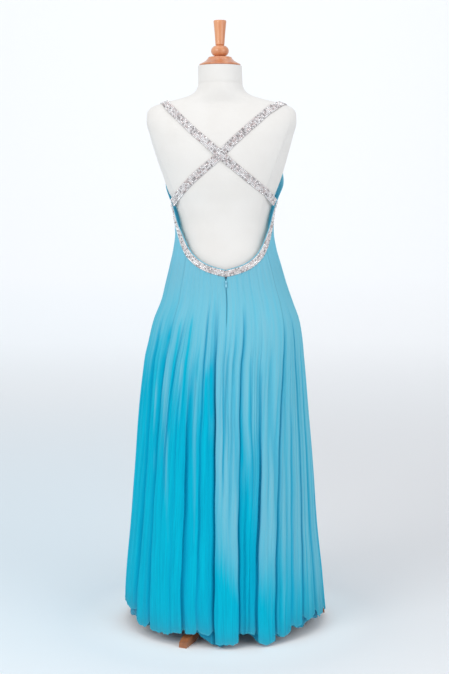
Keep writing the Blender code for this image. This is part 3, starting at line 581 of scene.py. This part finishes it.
def chiffonMaterial():
    s = Shader("silk chiffon")
    xyz, along = clothCoords(s)
    height = xyz.outputs["Z"]
    # the colour is fuller lower down, and sooner on the left
    side = s.range(xyz.outputs["X"], -0.20, 0.19, -0.52, 0.80)
    lowness = s.times(s.math("SUBTRACT", 0.60, height), 2.4)
    cloudy = s.around(clothNoise(s, along, 24.0, 2.0), 0.9)
    cloudy = s.plus(cloudy, s.around(clothNoise(s, along, 120.0), 0.8))
    pale = s.around(s.stored("pale"), -1.3)
    deep = s.range(s.plus(lowness, side, cloudy, pale), -0.15, 1.0)
    streaks = clothNoise(s, along, 230.0, 4.0, 0.65)
    broad = clothNoise(s, along, 70.0, 2.0)
    ground, streak, patch = (rgb(*tone) for tone in dyesAndShade["pale"])
    paleTone = s.mix(s.range(streaks, 0.38, 0.70, 0.0, 0.6), ground, streak)
    paleTone = s.mix(s.range(broad, 0.50, 0.72, 0.0, 0.35), paleTone, patch)
    paleTone = s.mix(s.range(height, 0.82, 1.04, 0.0, 0.42), paleTone, rgb(*dyesAndShade["bodice"]))
    ground, streak, patch = (rgb(*tone) for tone in dyesAndShade["full"])
    fullTone = s.mix(s.range(streaks, 0.38, 0.70), ground, streak)
    fullTone = s.mix(s.range(broad, 0.50, 0.72, 0.0, 0.5), fullTone, patch)
    colour = s.mix(deep, paleTone, fullTone)
    # the valley and dip marks darken the colour as painted shade
    for name, share, tone in dyesAndShade["marks"]:
        colour = s.marked(colour, name, share, tone)
    weave = s.add("TexNoise", {"Vector": s.coords.outputs["Object"], "Scale": 1100.0, "Detail": 2.0})
    normal = s.bump(weave.outputs["Fac"], 0.25, 0.0003, s.bump(streaks, 0.55, 0.0016))
    s.set(Base_Color=colour, Roughness=0.75, Normal=normal, Sheen_Weight=0.10, Sheen_Roughness=0.5,
          Sheen_Tint=(0.12, 0.80, 1.0, 1.0), Specular_IOR_Level=0.06)
    s.thinAtHem(0.32)
    s.letLightThrough(colour, s.range(height, 0.80, 1.04, 0.22, 0.40))
    return s.material


def underMaterial():
    s = Shader("under layer")
    streaks = s.noise(45.0, 3.0, (1, 1, 0.04), 0.6)
    colour = s.mix(s.range(streaks, 0.3, 0.75), rgb(0, 134, 172), rgb(4, 158, 194))
    for name, share, tone in dyesAndShade["underMarks"]:
        colour = s.marked(colour, name, share, tone)
    s.set(Base_Color=colour, Roughness=0.7, Normal=s.bump(streaks, 0.3, 0.001), Sheen_Weight=0.1,
          Specular_IOR_Level=0.12)
    s.thinAtHem(0.35)
    return s.material


def facingMaterial():
    # the inner face of the cloth, darker low down; above 0.90 to 0.965 m it turns much paler, painted light
    # for light that the form keeps from it
    s = Shader("chiffon inner face")
    streaks = s.noise(45.0, 3.0, (1, 1, 0.04), 0.6)
    height = s.add("SeparateXYZ", {"Vector": s.coords.outputs["Object"]}).outputs["Z"]
    low = s.mix(s.range(streaks, 0.3, 0.75), rgb(20, 160, 200), rgb(40, 178, 214))
    # painted light: the pale upper colours of the inner face
    high = s.mix(s.range(streaks, 0.3, 0.75), rgb(176, 240, 252), rgb(196, 246, 255))
    colour = s.mix(s.range(height, 0.90, 0.965), low, high)
    s.set(Base_Color=colour, Roughness=0.75, Normal=s.bump(streaks, 0.3, 0.001), Specular_IOR_Level=0.06)
    s.thinAtHem(0.32)
    s.letLightThrough(colour, 0.50)
    return s.material


def formMaterial():
    s = Shader("cream linen cover")
    warp = s.noise(1400.0, 2.0, (1, 1, 0.12))
    weft = s.noise(1400.0, 2.0, (0.12, 0.12, 1))
    mottled = s.noise(14.0, 3.0)
    colour = s.mix(s.range(mottled, 0.3, 0.7, 0.0, 0.5), rgb(229, 226, 222), rgb(223, 219, 214))
    colour = s.marked(colour, "seam", 0.12, (196, 190, 182))
    normal = s.bump(s.times(s.plus(warp, weft), 0.5), 0.30, 0.0004)
    s.set(Base_Color=colour, Roughness=0.88, Normal=normal, Sheen_Weight=0.15, Specular_IOR_Level=0.2)
    return s.material


def woodMaterial(name, light, dark, stretch, gloss):
    s = Shader(name)
    grain = s.noise(26.0, 5.0, stretch, 0.62)
    fine = s.noise(140.0, 3.0, stretch, 0.6)
    colour = s.mix(s.range(grain, 0.30, 0.70), light, dark)
    colour = s.mix(s.range(fine, 0.45, 0.75, 0.0, 0.35), colour, dark)
    s.set(Base_Color=colour, Roughness=0.32, Normal=s.bump(fine, 0.12, 0.0004), Coat_Weight=gloss,
          Coat_Roughness=0.12)
    return s.material


def stoneMaterial():
    s = Shader("clear stones")
    # painted glint: each stone's stored tone lightens it from grey to white, standing in for its sparkle
    colour = s.mix(s.stored("tone"), rgb(124, 119, 120), rgb(255, 255, 255))
    colour = s.marked(colour, "tint", 0.30, (226, 178, 170))
    s.set(Base_Color=colour, Metallic=0.30, Roughness=0.10, Coat_Weight=0.8, Coat_Roughness=0.03)
    return s.material


def backingMaterial():
    s = Shader("stone backing")
    mesh = s.noise(700.0, 2.0)
    colour = s.mix(s.range(mesh, 0.35, 0.65), rgb(176, 168, 168), rgb(214, 208, 208))
    s.set(Base_Color=colour, Metallic=0.1, Roughness=0.45, Normal=s.bump(mesh, 0.5, 0.0004))
    return s.material


def metalMaterial(name, colour, rough):
    s = Shader(name)
    worn = s.noise(300.0, 3.0)
    s.set(Base_Color=s.mix(s.range(worn, 0.4, 0.7, 0.0, 0.4), colour, rgb(96, 160, 182)), Metallic=0.15)
    s.set(Roughness=s.range(worn, 0.3, 0.7, rough, rough + 0.15))
    return s.material


def tapeMaterial():
    s = Shader("zip tape")
    wave = s.add("TexWave", {"Vector": s.coords.outputs["Object"], "Scale": 180.0}, bands_direction="Z")
    rib = wave.outputs["Fac"]
    colour = s.mix(rib, rgb(30, 140, 175), rgb(60, 165, 198))
    s.set(Base_Color=colour, Roughness=0.8, Normal=s.bump(rib, 0.3, 0.0003))
    return s.material


chiffon, facing, lining, linen = chiffonMaterial(), facingMaterial(), underMaterial(), formMaterial()
varnished = woodMaterial("varnished beech", rgb(226, 158, 112), rgb(190, 108, 62), (1, 1, 0.12), 0.7)
stained = woodMaterial("stained leg wood", rgb(186, 120, 76), rgb(140, 84, 50), (1, 1, 0.6), 0.3)
crystal, backing, tape = stoneMaterial(), backingMaterial(), tapeMaterial()
steel = metalMaterial("zip metal", rgb(150, 212, 230), 0.35)
darkHook = metalMaterial("dark hook", rgb(40, 48, 58), 0.3)
print("materials made")


def spreadColumns(u, first, last, crowding):
    # columns of cloth, closer together at the valleys
    place = first + (last - first) * u
    index = np.floor(place)
    across = place - index
    across = across - crowding * np.sin(2 * np.pi * across) / (2 * np.pi)
    return np.clip(index + across, first + gown["seamGap"], last - gown["seamGap"])


def makePanel(name, first, last, width, length, area):
    columns = gown["columnsPerFold"]["front" if name == "front_panel" else "back"] * (last - first)
    low, high, zone = gown["lowRows"], gown["highRows"], gown["hemZone"]
    rolled, roll, thin = gown["hemRows"], gown["roll"], gown["sheer"]
    rows = low + high

    def settle(u, v):
        place = spreadColumns(u, first, last, gown["crowding"])
        hem = hemHeight(place)
        row = v * rows
        # rows crowd together at the hem, where the edge is rolled
        share, above = np.clip(row / low, 0, 1), row - rolled["rolled"]
        crowded = rolled["even"] * share + (1 - rolled["even"]) * share ** rolled["power"]
        lower = hem + (zone - hem) * crowded
        clear = hem + rolled["rolled"] * rolled["step"] + above * rolled["least"]
        lower = np.where(above <= 0, hem + row * rolled["step"], np.maximum(lower, clear))
        top = edgeHeight(foldPlace(place, np.full_like(place, zone)))
        z = np.where(row <= low, lower, zone + (top - zone) * (row - low) / high)
        angle = foldPlace(place, z, gown["lip"]["reach"])
        inset, valley = foldInset(place, z)
        waves = ripples(place, z)
        inset = inset + creaseDepth(angle, z) + waves * (1 - 0.7 * valley)  # smoother in the valleys
        inset = inset - roll["out"] * bell(z - hem - roll["height"], roll["half"])
        sheerHeight = thin["height"] + thin["more"] * bell(angle - thin["angle"], thin["half"])
        # valley and dip are kept for painted shade in the folds' valleys and in the ripples' dips
        return bodyPoint(gown["sections"], angle, z, inset), {
            "valley": valley, "hem": bell(z - hem, thin["hem"]), "sheer": np.exp(-(z - hem) / sheerHeight),
            "dip": np.clip(waves / gown["ripples"][0][2], 0, 1), "place": place,
            "pale": 0.5 + crestPale(place, z), "seam": seamLine(place, z)}

    piece = gridPiece(name.replace("_panel", "Cloth").replace("_", ""), columns, rows, settle)
    giveWall(piece, gown["thickness"], inside=1)
    finishPiece(piece, chiffon, "gown", "chiffon", name)
    piece.data.materials.append(facing)


for row in gown["panels"]:
    makePanel(*row)
print("gown panels made")

underLayer = {
    "top": 0.735, "hem": 0.034, "overLeg": 0.035, "thickness": 0.0006,
    "columnsPerFold": 16, "rows": 36, "crowding": 0.4, "spread": 1.3,
    # how far inside the cloth's folds it lies: all over, and more below its top
    "seat": 0.0075, "inset": 0.0060, "insetFade": 0.08,
    # how much it follows the cloth's folds low down, below which height and over which fade
    "follows": 0.6, "followFrom": 0.4, "followFade": 0.35,
    "gathers": {"depth": 0.0022, "from": 0.5, "fade": 0.4},
    "edge": {"sheer": 0.02, "hem": 0.003, "wave": 0.0015},
    # where the layer hangs lowest: angle, half width in degrees, drop
    "dips": (
        (4, 15, 0.031), (-20, 8, 0.027), (-33, 8, 0.020), (52, 11, 0.010), (74, 10, 0.010),
        (-50, 11, 0.012), (-70, 10, 0.012), (100, 12, 0.014), (130, 14, 0.018), (160, 15, 0.020),
        (-170, 14, 0.020), (-145, 13, 0.019), (-118, 13, 0.018), (-95, 11, 0.008),
    ),
    "panels": (
        ("under_layer_back", 0, 18, 0.95, 0.74, 0.533),
        ("under_layer_front", 18, 34, 0.88, 0.74, 0.526),
    ),
}


def makeUnderPanel(name, first, last, width, length, area):
    columns, rows = underLayer["columnsPerFold"] * (last - first), underLayer["rows"]
    top, follows, gathers, edge = (underLayer[key] for key in ("top", "follows", "gathers", "edge"))

    def settle(u, v):
        place = spreadColumns(u, first, last, underLayer["crowding"])
        start = foldPlace(place, np.zeros_like(place))
        hem = np.full_like(place, underLayer["hem"])
        for at, wide, drop in underLayer["dips"]:
            hem = hem - drop * (1 - ease(np.abs(turnBetween(start, at)) / wide))
        hem = np.maximum(hem + edge["wave"] * np.sin(place * 5.0), underLayer["overLeg"] * overLeg(start))
        z = hem + (top - hem) * v ** underLayer["spread"]
        angle = foldPlace(place, z)
        inset, valley = foldInset(place, z)
        inset = inset * (1 - (1 - follows) * ease((underLayer["followFrom"] - z) / underLayer["followFade"]))
        inset = inset + underLayer["seat"] + underLayer["inset"] * ease((top - z) / underLayer["insetFade"])
        wave = np.sin(angle * 0.55 + 1.3 * np.sin(angle * 0.11))
        inset = inset + gathers["depth"] * wave * ease((gathers["from"] - z) / gathers["fade"])
        return bodyPoint(gown["sections"], angle, z, inset), {
            "hem": bell(z - hem, edge["hem"]), "sheer": np.exp(-(z - hem) / edge["sheer"])}


    piece = gridPiece(name.replace("_layer", "Cloth").replace("_", ""), columns, rows, settle)
    giveWall(piece, underLayer["thickness"])
    finishPiece(piece, lining, "gown", "under_layer", name)


for row in underLayer["panels"]:
    makeUnderPanel(*row)
print("under layer made")

form = {
    "columns": 220, "rows": 190,
    "sections": (
        (0.700, 0.146, 0.098, 0.086, -0.004, 2.2),
        (0.715, 0.155, 0.106, 0.094, -0.004, 2.2),
        (0.800, 0.158, 0.112, 0.099, -0.005, 2.2),
        (0.850, 0.150, 0.109, 0.098, -0.004, 2.2),
        (0.900, 0.138, 0.101, 0.093, -0.003, 2.2),
        (0.950, 0.1235, 0.092, 0.087, -0.002, 2.2),
        (1.000, 0.1130, 0.085, 0.084, 0.000, 2.2),
        (1.030, 0.1130, 0.084, 0.086, 0.0005, 2.2),
        (1.080, 0.1235, 0.088, 0.094, 0.0022, 2.3),
        (1.120, 0.1395, 0.095, 0.104, 0.0055, 2.3),
        (1.150, 0.150, 0.099, 0.110, 0.005, 2.3),
        (1.198, 0.1655, 0.101, 0.108, 0.0065, 2.4),
        (1.254, 0.1815, 0.094, 0.093, 0.0075, 2.4),
        (1.290, 0.190, 0.078, 0.075, 0.0075, 2.4),
        (1.310, 0.189, 0.065, 0.060, 0.0075, 2.3),
        (1.325, 0.180, 0.055, 0.048, 0.0075, 2.2),
        (1.337, 0.150, 0.051, 0.041, 0.008, 2.1),
        (1.347, 0.110, 0.053, 0.041, 0.009, 2.0),
        (1.357, 0.078, 0.056, 0.043, 0.0095, 2.0),
        (1.369, 0.062, 0.057, 0.047, 0.010, 2.0),
        (1.388, 0.0555, 0.055, 0.050, 0.0105, 2.0),
        (1.430, 0.0545, 0.0535, 0.0525, 0.0115, 2.0),
    ),
    "neckSeam": {"height": 1.385, "dip": 0.004, "band": 0.0007, "bandFade": 0.002},
    "seams": (92, -92, 132, -132),
    # where the back panel meets the side panel: side, angle low down and at the shoulder, height, rise, tuck
    "backSeams": ((1, 54, 76, 1.02, 0.26, 0.0030), (-1, 49.5, 66, 1.12, 0.22, 0.0050)),
    "sideSeam": 92,             # the tuck ends there
    "groove": {"depth": 0.0003, "half": 0.0016, "radius": 0.13, "shoulder": 1.335, "fade": 0.01},
    "tuckZone": ((1.03, 0.06), (1.30, 0.05)),   # height and fade below and above
}


def makeForm():
    bottom, top = form["sections"][0][0], form["sections"][-1][0]
    rows, groove, neck = form["rows"], form["groove"], form["neckSeam"]
    heights = np.linspace(bottom, top, rows + 1)
    metres = np.pi / 180 * groove["radius"]

    def settle(u, v):
        angle = 180 - 360 * u
        z = heights[np.round(v * rows).astype(int)]
        line = sum(bell(turnBetween(angle, at) * metres, groove["half"]) for at in form["seams"])
        tuck = np.zeros_like(angle)
        for side, lowAngle, highAngle, start, rise, depth in form["backSeams"]:
            at = lowAngle + (highAngle - lowAngle) * ease((z - start) / rise)
            beyond = side * turnBetween(angle) - at
            line += bell(beyond * metres, groove["half"])
            share = np.clip(beyond / (form["sideSeam"] - at), 0, 1)
            tuck += depth * 6.75 * share * (1 - share) ** 2  # 6.75 makes the peak of this curve 1
        line *= ease((groove["shoulder"] - z) / groove["fade"]) * ease((z - bottom) / groove["fade"])
        (low, lowFade), (high, highFade) = form["tuckZone"]
        tuck *= ease((z - low) / lowFade) * ease((high - z) / highFade)
        aboveNeck = z - neck["height"] - neck["dip"] * np.cos(np.radians(angle))
        line += bell(aboveNeck, groove["half"])
        inset = groove["depth"] * line + tuck - neck["band"] * ease(aboveNeck / neck["bandFade"])
        return bodyPoint(form["sections"], angle, z, inset), {"seam": np.clip(line, 0, 1)}

    piece = gridPiece("dressForm", form["columns"], rows, settle)
    bm = bmesh.new()
    bm.from_mesh(piece.data)
    bmesh.ops.remove_doubles(bm, verts=bm.verts, dist=0.00002)
    bmesh.ops.holes_fill(bm, edges=[e for e in bm.edges if e.is_boundary], sides=0)
    bmesh.ops.recalc_face_normals(bm, faces=bm.faces)
    bm.to_mesh(piece.data)
    bm.free()
    piece.data.shade_smooth()
    piece.data.set_sharp_from_angle(angle=math.radians(50))
    return finishPiece(piece, linen, "gown", "form_cloth", "dress_form")


dressForm = makeForm()
print("form made")


def surfaceTree(piece):
    bm = bmesh.new()
    bm.from_mesh(piece.data)
    tree = BVHTree.FromBMesh(bm)
    bm.free()
    return tree


formTree = surfaceTree(dressForm)

stones = {
    "pitch": 0.0040, "radius": 0.00192, "height": 0.0016, "segments": 7, "tilt": 12,
    "sizes": (0.88, 1.06), "table": 0.52,    # spread of the radius, and the flat top's share of it
    "sunk": 0.42,                            # share of the height at which the middle stands
    # the spread from dark to bright is painted glint
    "bright": (0.75, 0.32), "warm": 0.25,    # shape of the spread from dark to bright, share of rosy stones
}

strap = {
    "width": 0.020, "backing": 0.0014, "lift": 0.0016, "seat": (0.0022, 0.0004), "hug": 0.85, "length": 0.58,
    # the upper strap rises where the two cross: height, place, spread, flat share
    "crossLift": 0.0030, "cross": (0.011, 1.2055), "crossSpread": 0.045, "crossFlat": 0.3,
    "backEnd": 77, "frontEnd": 141, "smooth": 8,
    "pieces": (("strapOver", "strap_over", 1, True, 11), ("strapUnder", "strap_under", -1, False, 12)),
    "ways": {
        1: ((0.140, 1.276, "front"), (0.149, 1.310, "front"), (0.152, None, "top"), (0.1391, 1.3243, "back"),
            (0.1107, 1.2954, "back"), (0.0804, 1.2661, "back"), (0.0506, 1.2400, "back"),
            (0.0111, 1.2055, "back"), (-0.0309, 1.1706, "back"), (-0.0701, 1.1390, "back"),
            (-0.1068, 1.1088, "back")),
        -1: ((-0.136, 1.276, "front"), (-0.145, 1.310, "front"), (-0.148, None, "top"),
             (-0.1300, 1.3290, "back"), (-0.1069, 1.3130, "back"), (-0.0793, 1.2890, "back"),
             (-0.0487, 1.2622, "back"), (-0.0128, 1.2290, "back"), (0.0170, 1.1995, "back"),
             (0.0470, 1.1736, "back"), (0.0807, 1.1440, "back"), (0.1116, 1.1113, "back")),
    },
}

trim = {
    "width": 0.016, "belowEdge": 0.0022, "lift": 0.0010, "backing": 0.0013, "length": 0.27,
    "from": 0.12, "past": 2.8,               # degrees from the zip, and past the strap's end
    "pieces": (("trimLeft", "back_trim_left", 1, 13), ("trimRight", "back_trim_right", -1, 14)),
}


def throughPoints(points, steps):
    # points read from a smooth curve through the given ones
    ends = [points[0] * 2 - points[1]] + points + [points[-1] * 2 - points[-2]]
    line = []
    for a, b, c, d in zip(ends, ends[1:], ends[2:], ends[3:]):
        for k in range(steps):
            t = k / steps
            line.append(0.5 * (2 * b + (c - a) * t + (2 * a - 5 * b + 4 * c - d) * t * t
                               + (3 * b - a - 3 * c + d) * t ** 3))
    return line + [points[-1]]


def evenSteps(line, step):
    # the same line with points a fixed step apart
    lengths = np.cumsum([0] + [(b - a).length for a, b in zip(line, line[1:])])
    count = max(2, round(lengths[-1] / step))
    marks = np.linspace(0, lengths[-1], count + 1)
    table = np.array([list(p) for p in line])
    return [Vector([np.interp(m, lengths, table[:, k]) for k in range(3)]) for m in marks]


def formSpot(x, z, face):
    # where the form is met straight down, from behind or from the front
    if face == "top":
        return formTree.ray_cast(Vector((x, 0.002, 1.6)), Vector((0, 0, -1)))[0]
    side = 1 if face == "back" else -1
    return formTree.ray_cast(Vector((x, 0.5 * side, z)), Vector((0, -side, 0)))[0]


def strapSeat(angle):
    # a strap's end at the gown's edge: a little above it and sunk into the cloth
    above, sunk = strap["seat"]
    point, normal, _, _ = surfaceFrame(gown["sections"], np.array(float(angle)), edgeHeight(angle))
    return Vector(point) + Vector((0, 0, above)) - Vector(normal) * sunk


def strapLine(shoulder, over):
    # frames along a strap: middle, direction across, outward direction, height over the form
    points = [strapSeat(shoulder * strap["frontEnd"])]
    for x, z, face in strap["ways"][shoulder]:
        spot = formSpot(x, z, face)
        points.append(spot + formTree.find_nearest(spot)[1] * strap["lift"])
    points.append(strapSeat(-shoulder * strap["backEnd"]))
    line = evenSteps(throughPoints(points, strap["smooth"]), stones["pitch"])
    crossX, crossZ = strap["cross"]
    frames = []
    for index, spot in enumerate(line):
        before, after = line[max(index - 2, 0)], line[min(index + 2, len(line) - 1)]
        tangent = (after - before).normalized()
        near, out, _, _ = formTree.find_nearest(spot)
        out = (out - tangent * out.dot(tangent)).normalized()
        gap = max((spot - near).dot(out), strap["lift"])
        away = math.hypot(spot.x - crossX, spot.z - crossZ) / strap["crossSpread"]
        if over and spot.y > 0:
            gap += strap["crossLift"] * float(1 - ease(away - strap["crossFlat"]))
        frames.append((near + out * gap, tangent.cross(out).normalized(), out, gap))
    return frames


def laidOnForm(frames):
    # spots across the strap follow the form's rounding
    def spotAt(index, offset):
        middle, across, out, gap = frames[index]
        flat = middle + across * offset
        near = formTree.find_nearest(flat)[0]
        height = (flat - near).dot(out)
        return flat + out * (gap - height) * strap["hug"], out
    return spotAt


def trimSpot(angle, down):
    # place on the cloth, square to its upper edge and this far below it
    point, normal, along, up = surfaceFrame(gown["sections"], np.array(float(angle)), edgeHeight(angle))
    ahead = bodyPoint(gown["sections"], np.array(angle + 0.5), edgeHeight(angle + 0.5))
    tangent = (ahead - point) / np.linalg.norm(ahead - point)
    square = np.cross(normal, tangent)
    square = -square if square[2] > 0 else square
    move = square * down
    system = np.array([[along @ along, along @ up], [along @ up, up @ up]])
    turn, rise = np.linalg.solve(system, np.array([move @ along, move @ up]))
    place, out, _, _ = surfaceFrame(gown["sections"], np.array(angle + turn), edgeHeight(angle) + rise)
    return Vector(place), Vector(out)


def trimLine(side):
    # angles a stone's pitch apart, from the zip to just past the strap's end
    fine = np.linspace(trim["from"], strap["backEnd"] + trim["past"], 240)
    points = bodyPoint(gown["sections"], fine, edgeHeight(fine))
    lengths = np.concatenate([[0], np.cumsum(np.linalg.norm(np.diff(points, axis=0), axis=1))])
    count = round(lengths[-1] / stones["pitch"])
    return [side * float(a) for a in np.interp(np.linspace(0, lengths[-1], count + 1), lengths, fine)]


def bandPiece(name, spotAt, count, width, thickness):
    # cloth backing of a stone band
    bm = bmesh.new()
    bmesh.ops.create_grid(bm, x_segments=count - 1, y_segments=4, size=0.5)
    for vert in bm.verts:
        index = round((vert.co.x + 0.5) * (count - 1))
        spot, out = spotAt(index, vert.co.y * width)
        vert.co = spot
    piece = pieceFrom(name, bm)
    spot, out = spotAt(count // 2, 0.0)
    middle = min(piece.data.polygons, key=lambda face: (face.center - spot).length)
    if middle.normal.dot(out) < 0:
        piece.data.flip_normals()
    giveWall(piece, thickness)
    return piece


def stonePiece(name, spotAt, count, width, seed):
    # rows of faceted stones, each a small truncated cone a little out of true
    bm = bmesh.new()
    random = np.random.default_rng(seed)
    rows = int(width / stones["pitch"])
    tone, tint = bm.verts.layers.float.new("tone"), bm.verts.layers.float.new("tint")
    for index in range(count):
        for row in range(rows):
            offset = (row - (rows - 1) / 2) * stones["pitch"]
            spot, out = spotAt(index, offset)
            lean = Vector(random.normal(0, math.radians(stones["tilt"]), 3))
            turn = (out + lean).normalized().to_track_quat("Z", "Y").to_matrix().to_4x4()
            spin = Matrix.Rotation(random.uniform(0, math.tau), 4, "Z")
            size = stones["radius"] * random.uniform(*stones["sizes"])
            centre = Matrix.Translation(spot + out * stones["height"] * stones["sunk"])
            made = bmesh.ops.create_cone(bm, cap_ends=True, segments=stones["segments"], radius1=size,
                                         radius2=size * stones["table"], depth=stones["height"],
                                         matrix=centre @ turn @ spin)
            # painted glint: a random brightness for each stone
            bright, warm = float(random.beta(*stones["bright"])), float(random.random() < stones["warm"])
            for vert in made["verts"]:
                vert[tone], vert[tint] = bright, warm
    return pieceFrom(name, bm, smooth=False)


def stoneBand(name, node, spotAt, count, width, thickness, seed):
    band = bandPiece(name + "Backing", spotAt, count, width, thickness)
    finishPiece(band, backing, "gown", "stones", node)
    gems = stonePiece(name + "Stones", spotAt, count, width, seed)
    finishPiece(gems, crystal, "gown", "stones", node)
    return band


def laidOnCloth(angles):
    def spotAt(index, offset):
        spot, out = trimSpot(angles[index], trim["belowEdge"] + trim["width"] / 2 + offset)
        return spot + out * trim["lift"], out
    return spotAt


for name, node, shoulder, over, seed in strap["pieces"]:
    frames = strapLine(shoulder, over)
    band = stoneBand(name, node, laidOnForm(frames), len(frames), strap["width"], strap["backing"], seed)

for name, node, side, seed in trim["pieces"]:
    angles = trimLine(side)
    band = stoneBand(name, node, laidOnCloth(angles), len(angles), trim["width"], trim["backing"], seed)
print("straps and trim made")

wood = {
    "side": 0.0115,             # the cap's axis
    "steps": {"plate": 96, "handle": 80, "pole": 64},
    "plate": (
        (0, 1.4303), (0.0505, 1.4303), (0.0522, 1.4312), (0.0525, 1.4330), (0.0516, 1.4346), (0.0480, 1.4364),
        (0.0432, 1.4388), (0.0380, 1.4420), (0.0338, 1.4454), (0.0312, 1.4484), (0.0303, 1.4500),
        (0.0290, 1.4520), (0, 1.4520),
    ),
    "handleFoot": ((0, 1.4523), (0.0110, 1.4523)),
    "handleBall": {"middle": 1.4672, "radius": 0.0228, "half": 0.0150, "full": 0.8, "steps": 18},
    "handleTop": (
        (0.0116, 1.4832), (0.0118, 1.4870), (0.0130, 1.5050), (0.0146, 1.5230), (0.0160, 1.5370),
        (0.0163, 1.5400), (0.0162, 1.5416), (0.0152, 1.5428), (0, 1.5430),
    ),
    "pole": (
        (0, 0.040), (0.026, 0.040), (0.030, 0.045), (0.030, 0.118), (0.024, 0.127), (0.018, 0.133),
        (0.014, 0.145), (0.014, 0.6996), (0, 0.6996),
    ),
}


def turned(name, profile, side, steps):
    # a lathe profile of radius and height, spun about an upright axis
    bm = bmesh.new()
    verts = [bm.verts.new((radius, 0, z)) for radius, z in profile]
    edges = [bm.edges.new(pair) for pair in zip(verts, verts[1:])]
    bmesh.ops.spin(bm, geom=verts + edges, cent=(0, 0, 0), axis=(0, 0, 1), angle=math.tau, steps=steps,
                   use_merge=True)
    bmesh.ops.remove_doubles(bm, verts=bm.verts, dist=0.00002)
    bmesh.ops.recalc_face_normals(bm, faces=bm.faces)
    bmesh.ops.translate(bm, verts=bm.verts, vec=(side, 0, 0))
    return pieceFrom(name, bm)


def handleProfile():
    ball = wood["handleBall"]
    profile = list(wood["handleFoot"])
    for k in range(2, ball["steps"] - 1):
        turn = math.pi * k / ball["steps"]
        radius = ball["radius"] * math.sin(turn) ** ball["full"]
        profile.append((radius, ball["middle"] - ball["half"] * math.cos(turn)))
    return profile + list(wood["handleTop"])


neckCap = turned("neckCap", wood["plate"], wood["side"], wood["steps"]["plate"])
finishPiece(neckCap, varnished, "gown", "wood", "neck_cap")
capHandle = turned("capHandle", handleProfile(), wood["side"], wood["steps"]["handle"])
finishPiece(capHandle, varnished, "gown", "wood", "cap_handle")
standPole = turned("standPole", wood["pole"], 0.0, wood["steps"]["pole"])
finishPiece(standPole, stained, "gown", "dark_wood", "pole")
for name, material in (("leg_1", stained), ("leg_2", stained), ("leg_3", stained), ("zip_slider", steel),
                       ("zip_pull", steel), ("hook", darkHook), ("zip_tape", tape)):
    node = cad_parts[name]
    node.data.materials.clear()
    node.data.materials.append(material)
print("wood and metal made")

stage = {
    "near": 7.5, "far": -6.5, "radius": 3.5, "length": 24.0, "width": 24.0, "steps": 90,
    # name, place, aim, size, power, tint
    "lamps": (
        ("key", (2.4, 2.6, 2.5), (0, 0, 0.9), (1.8, 2.4), 46, (1.0, 0.985, 0.96)),
        ("fill", (-2.6, 2.4, 1.8), (0, 0, 0.8), (2.2, 2.4), 28, (0.97, 0.985, 1.0)),
        ("top", (0, 0.4, 3.6), (0, 0, 0.6), (2.6, 2.6), 14, (1.0, 1.0, 1.0)),
        ("backdrop", (0, -6.2, 5.0), (0, -10, 0.8), (10.0, 2.0), 112, (1.0, 1.0, 1.0)),
    ),
    "sky": (0.93, 0.96, 1.0, 1), "skyStrength": 0.76,
}


def makeStage():
    # floor towards the camera, then a wide soft sweep up, far enough behind to look at the front too
    bm = bmesh.new()
    bmesh.ops.create_grid(bm, x_segments=1, y_segments=stage["steps"], size=0.5)
    radius = stage["radius"]
    level, quarter = stage["near"] - stage["far"], radius * math.pi / 2
    for vert in bm.verts:
        run = stage["length"] * (vert.co.y + 0.5)
        turn = np.clip((run - level) / quarter, 0, 1) * math.pi / 2
        rise = max(run - level - quarter, 0)
        y = stage["near"] - min(run, level) - radius * math.sin(turn)
        vert.co = Vector((vert.co.x * stage["width"], y, radius * (1 - math.cos(turn)) + rise))
    sweep = pieceFrom("sweep", bm)
    s = Shader("paper sweep")
    xyz = s.add("SeparateXYZ", {"Vector": s.coords.outputs["Object"]})
    # bluer towards +X, and painted light: paler far behind, towards the camera and higher up
    low = s.mix(s.range(xyz.outputs["X"], -0.5, 0.6), rgb(231, 231, 232), rgb(225, 236, 242))
    behind = s.range(xyz.outputs["Y"], -0.7, -4.2, 0.0, 0.8)
    before = s.range(xyz.outputs["Y"], -0.6, 1.2, 0.0, 0.6)
    paler = s.plus(behind, before, s.range(xyz.outputs["Z"], 0.0, 1.4))
    colour = s.mix(paler, low, rgb(244, 245, 246))
    away = s.add("VectorMath", {0: s.coords.outputs["Object"]}, operation="LENGTH").outputs["Value"]
    # painted light: the floor is whitened round the foot to offset the gown's shadow
    colour = s.mix(s.range(away, 0.42, 0.22), colour, rgb(254, 255, 255))  # palest round the foot
    s.set(Base_Color=colour, Roughness=0.9)
    sweep.data.materials.append(s.material)


def softLight(name, place, aim, size, power, tint):
    data = bpy.data.lights.new(name, "AREA")
    data.shape = "RECTANGLE"
    data.size, data.size_y = size
    data.energy = power
    data.color = tint
    lamp = bpy.data.objects.new(name, data)
    lamp.location = place
    lamp.rotation_euler = (Vector(aim) - Vector(place)).to_track_quat("-Z", "Y").to_euler()
    bpy.context.scene.collection.objects.link(lamp)


makeStage()
for lamp in stage["lamps"]:
    softLight(*lamp)
world = bpy.data.worlds.new("studio")
world.use_nodes = True
sky = world.node_tree.nodes["Background"]
sky.inputs["Color"].default_value = stage["sky"]
sky.inputs["Strength"].default_value = stage["skyStrength"]
bpy.context.scene.world = world

camera = {"place": (0.0, 3.30, 1.10), "down": 6.2, "lens": 68.6, "sensor": 36, "sight": 60}

lens = bpy.data.cameras.new("camera")
lens.lens, lens.sensor_width, lens.clip_end = camera["lens"], camera["sensor"], camera["sight"]
eye = bpy.data.objects.new("camera", lens)
eye.location = camera["place"]
eye.rotation_euler = (math.radians(90 - camera["down"]), 0, math.pi)
bpy.context.scene.collection.objects.link(eye)
bpy.context.scene.camera = eye
bpy.context.scene.view_settings.view_transform = "Standard"
print("stage, lights and camera made")
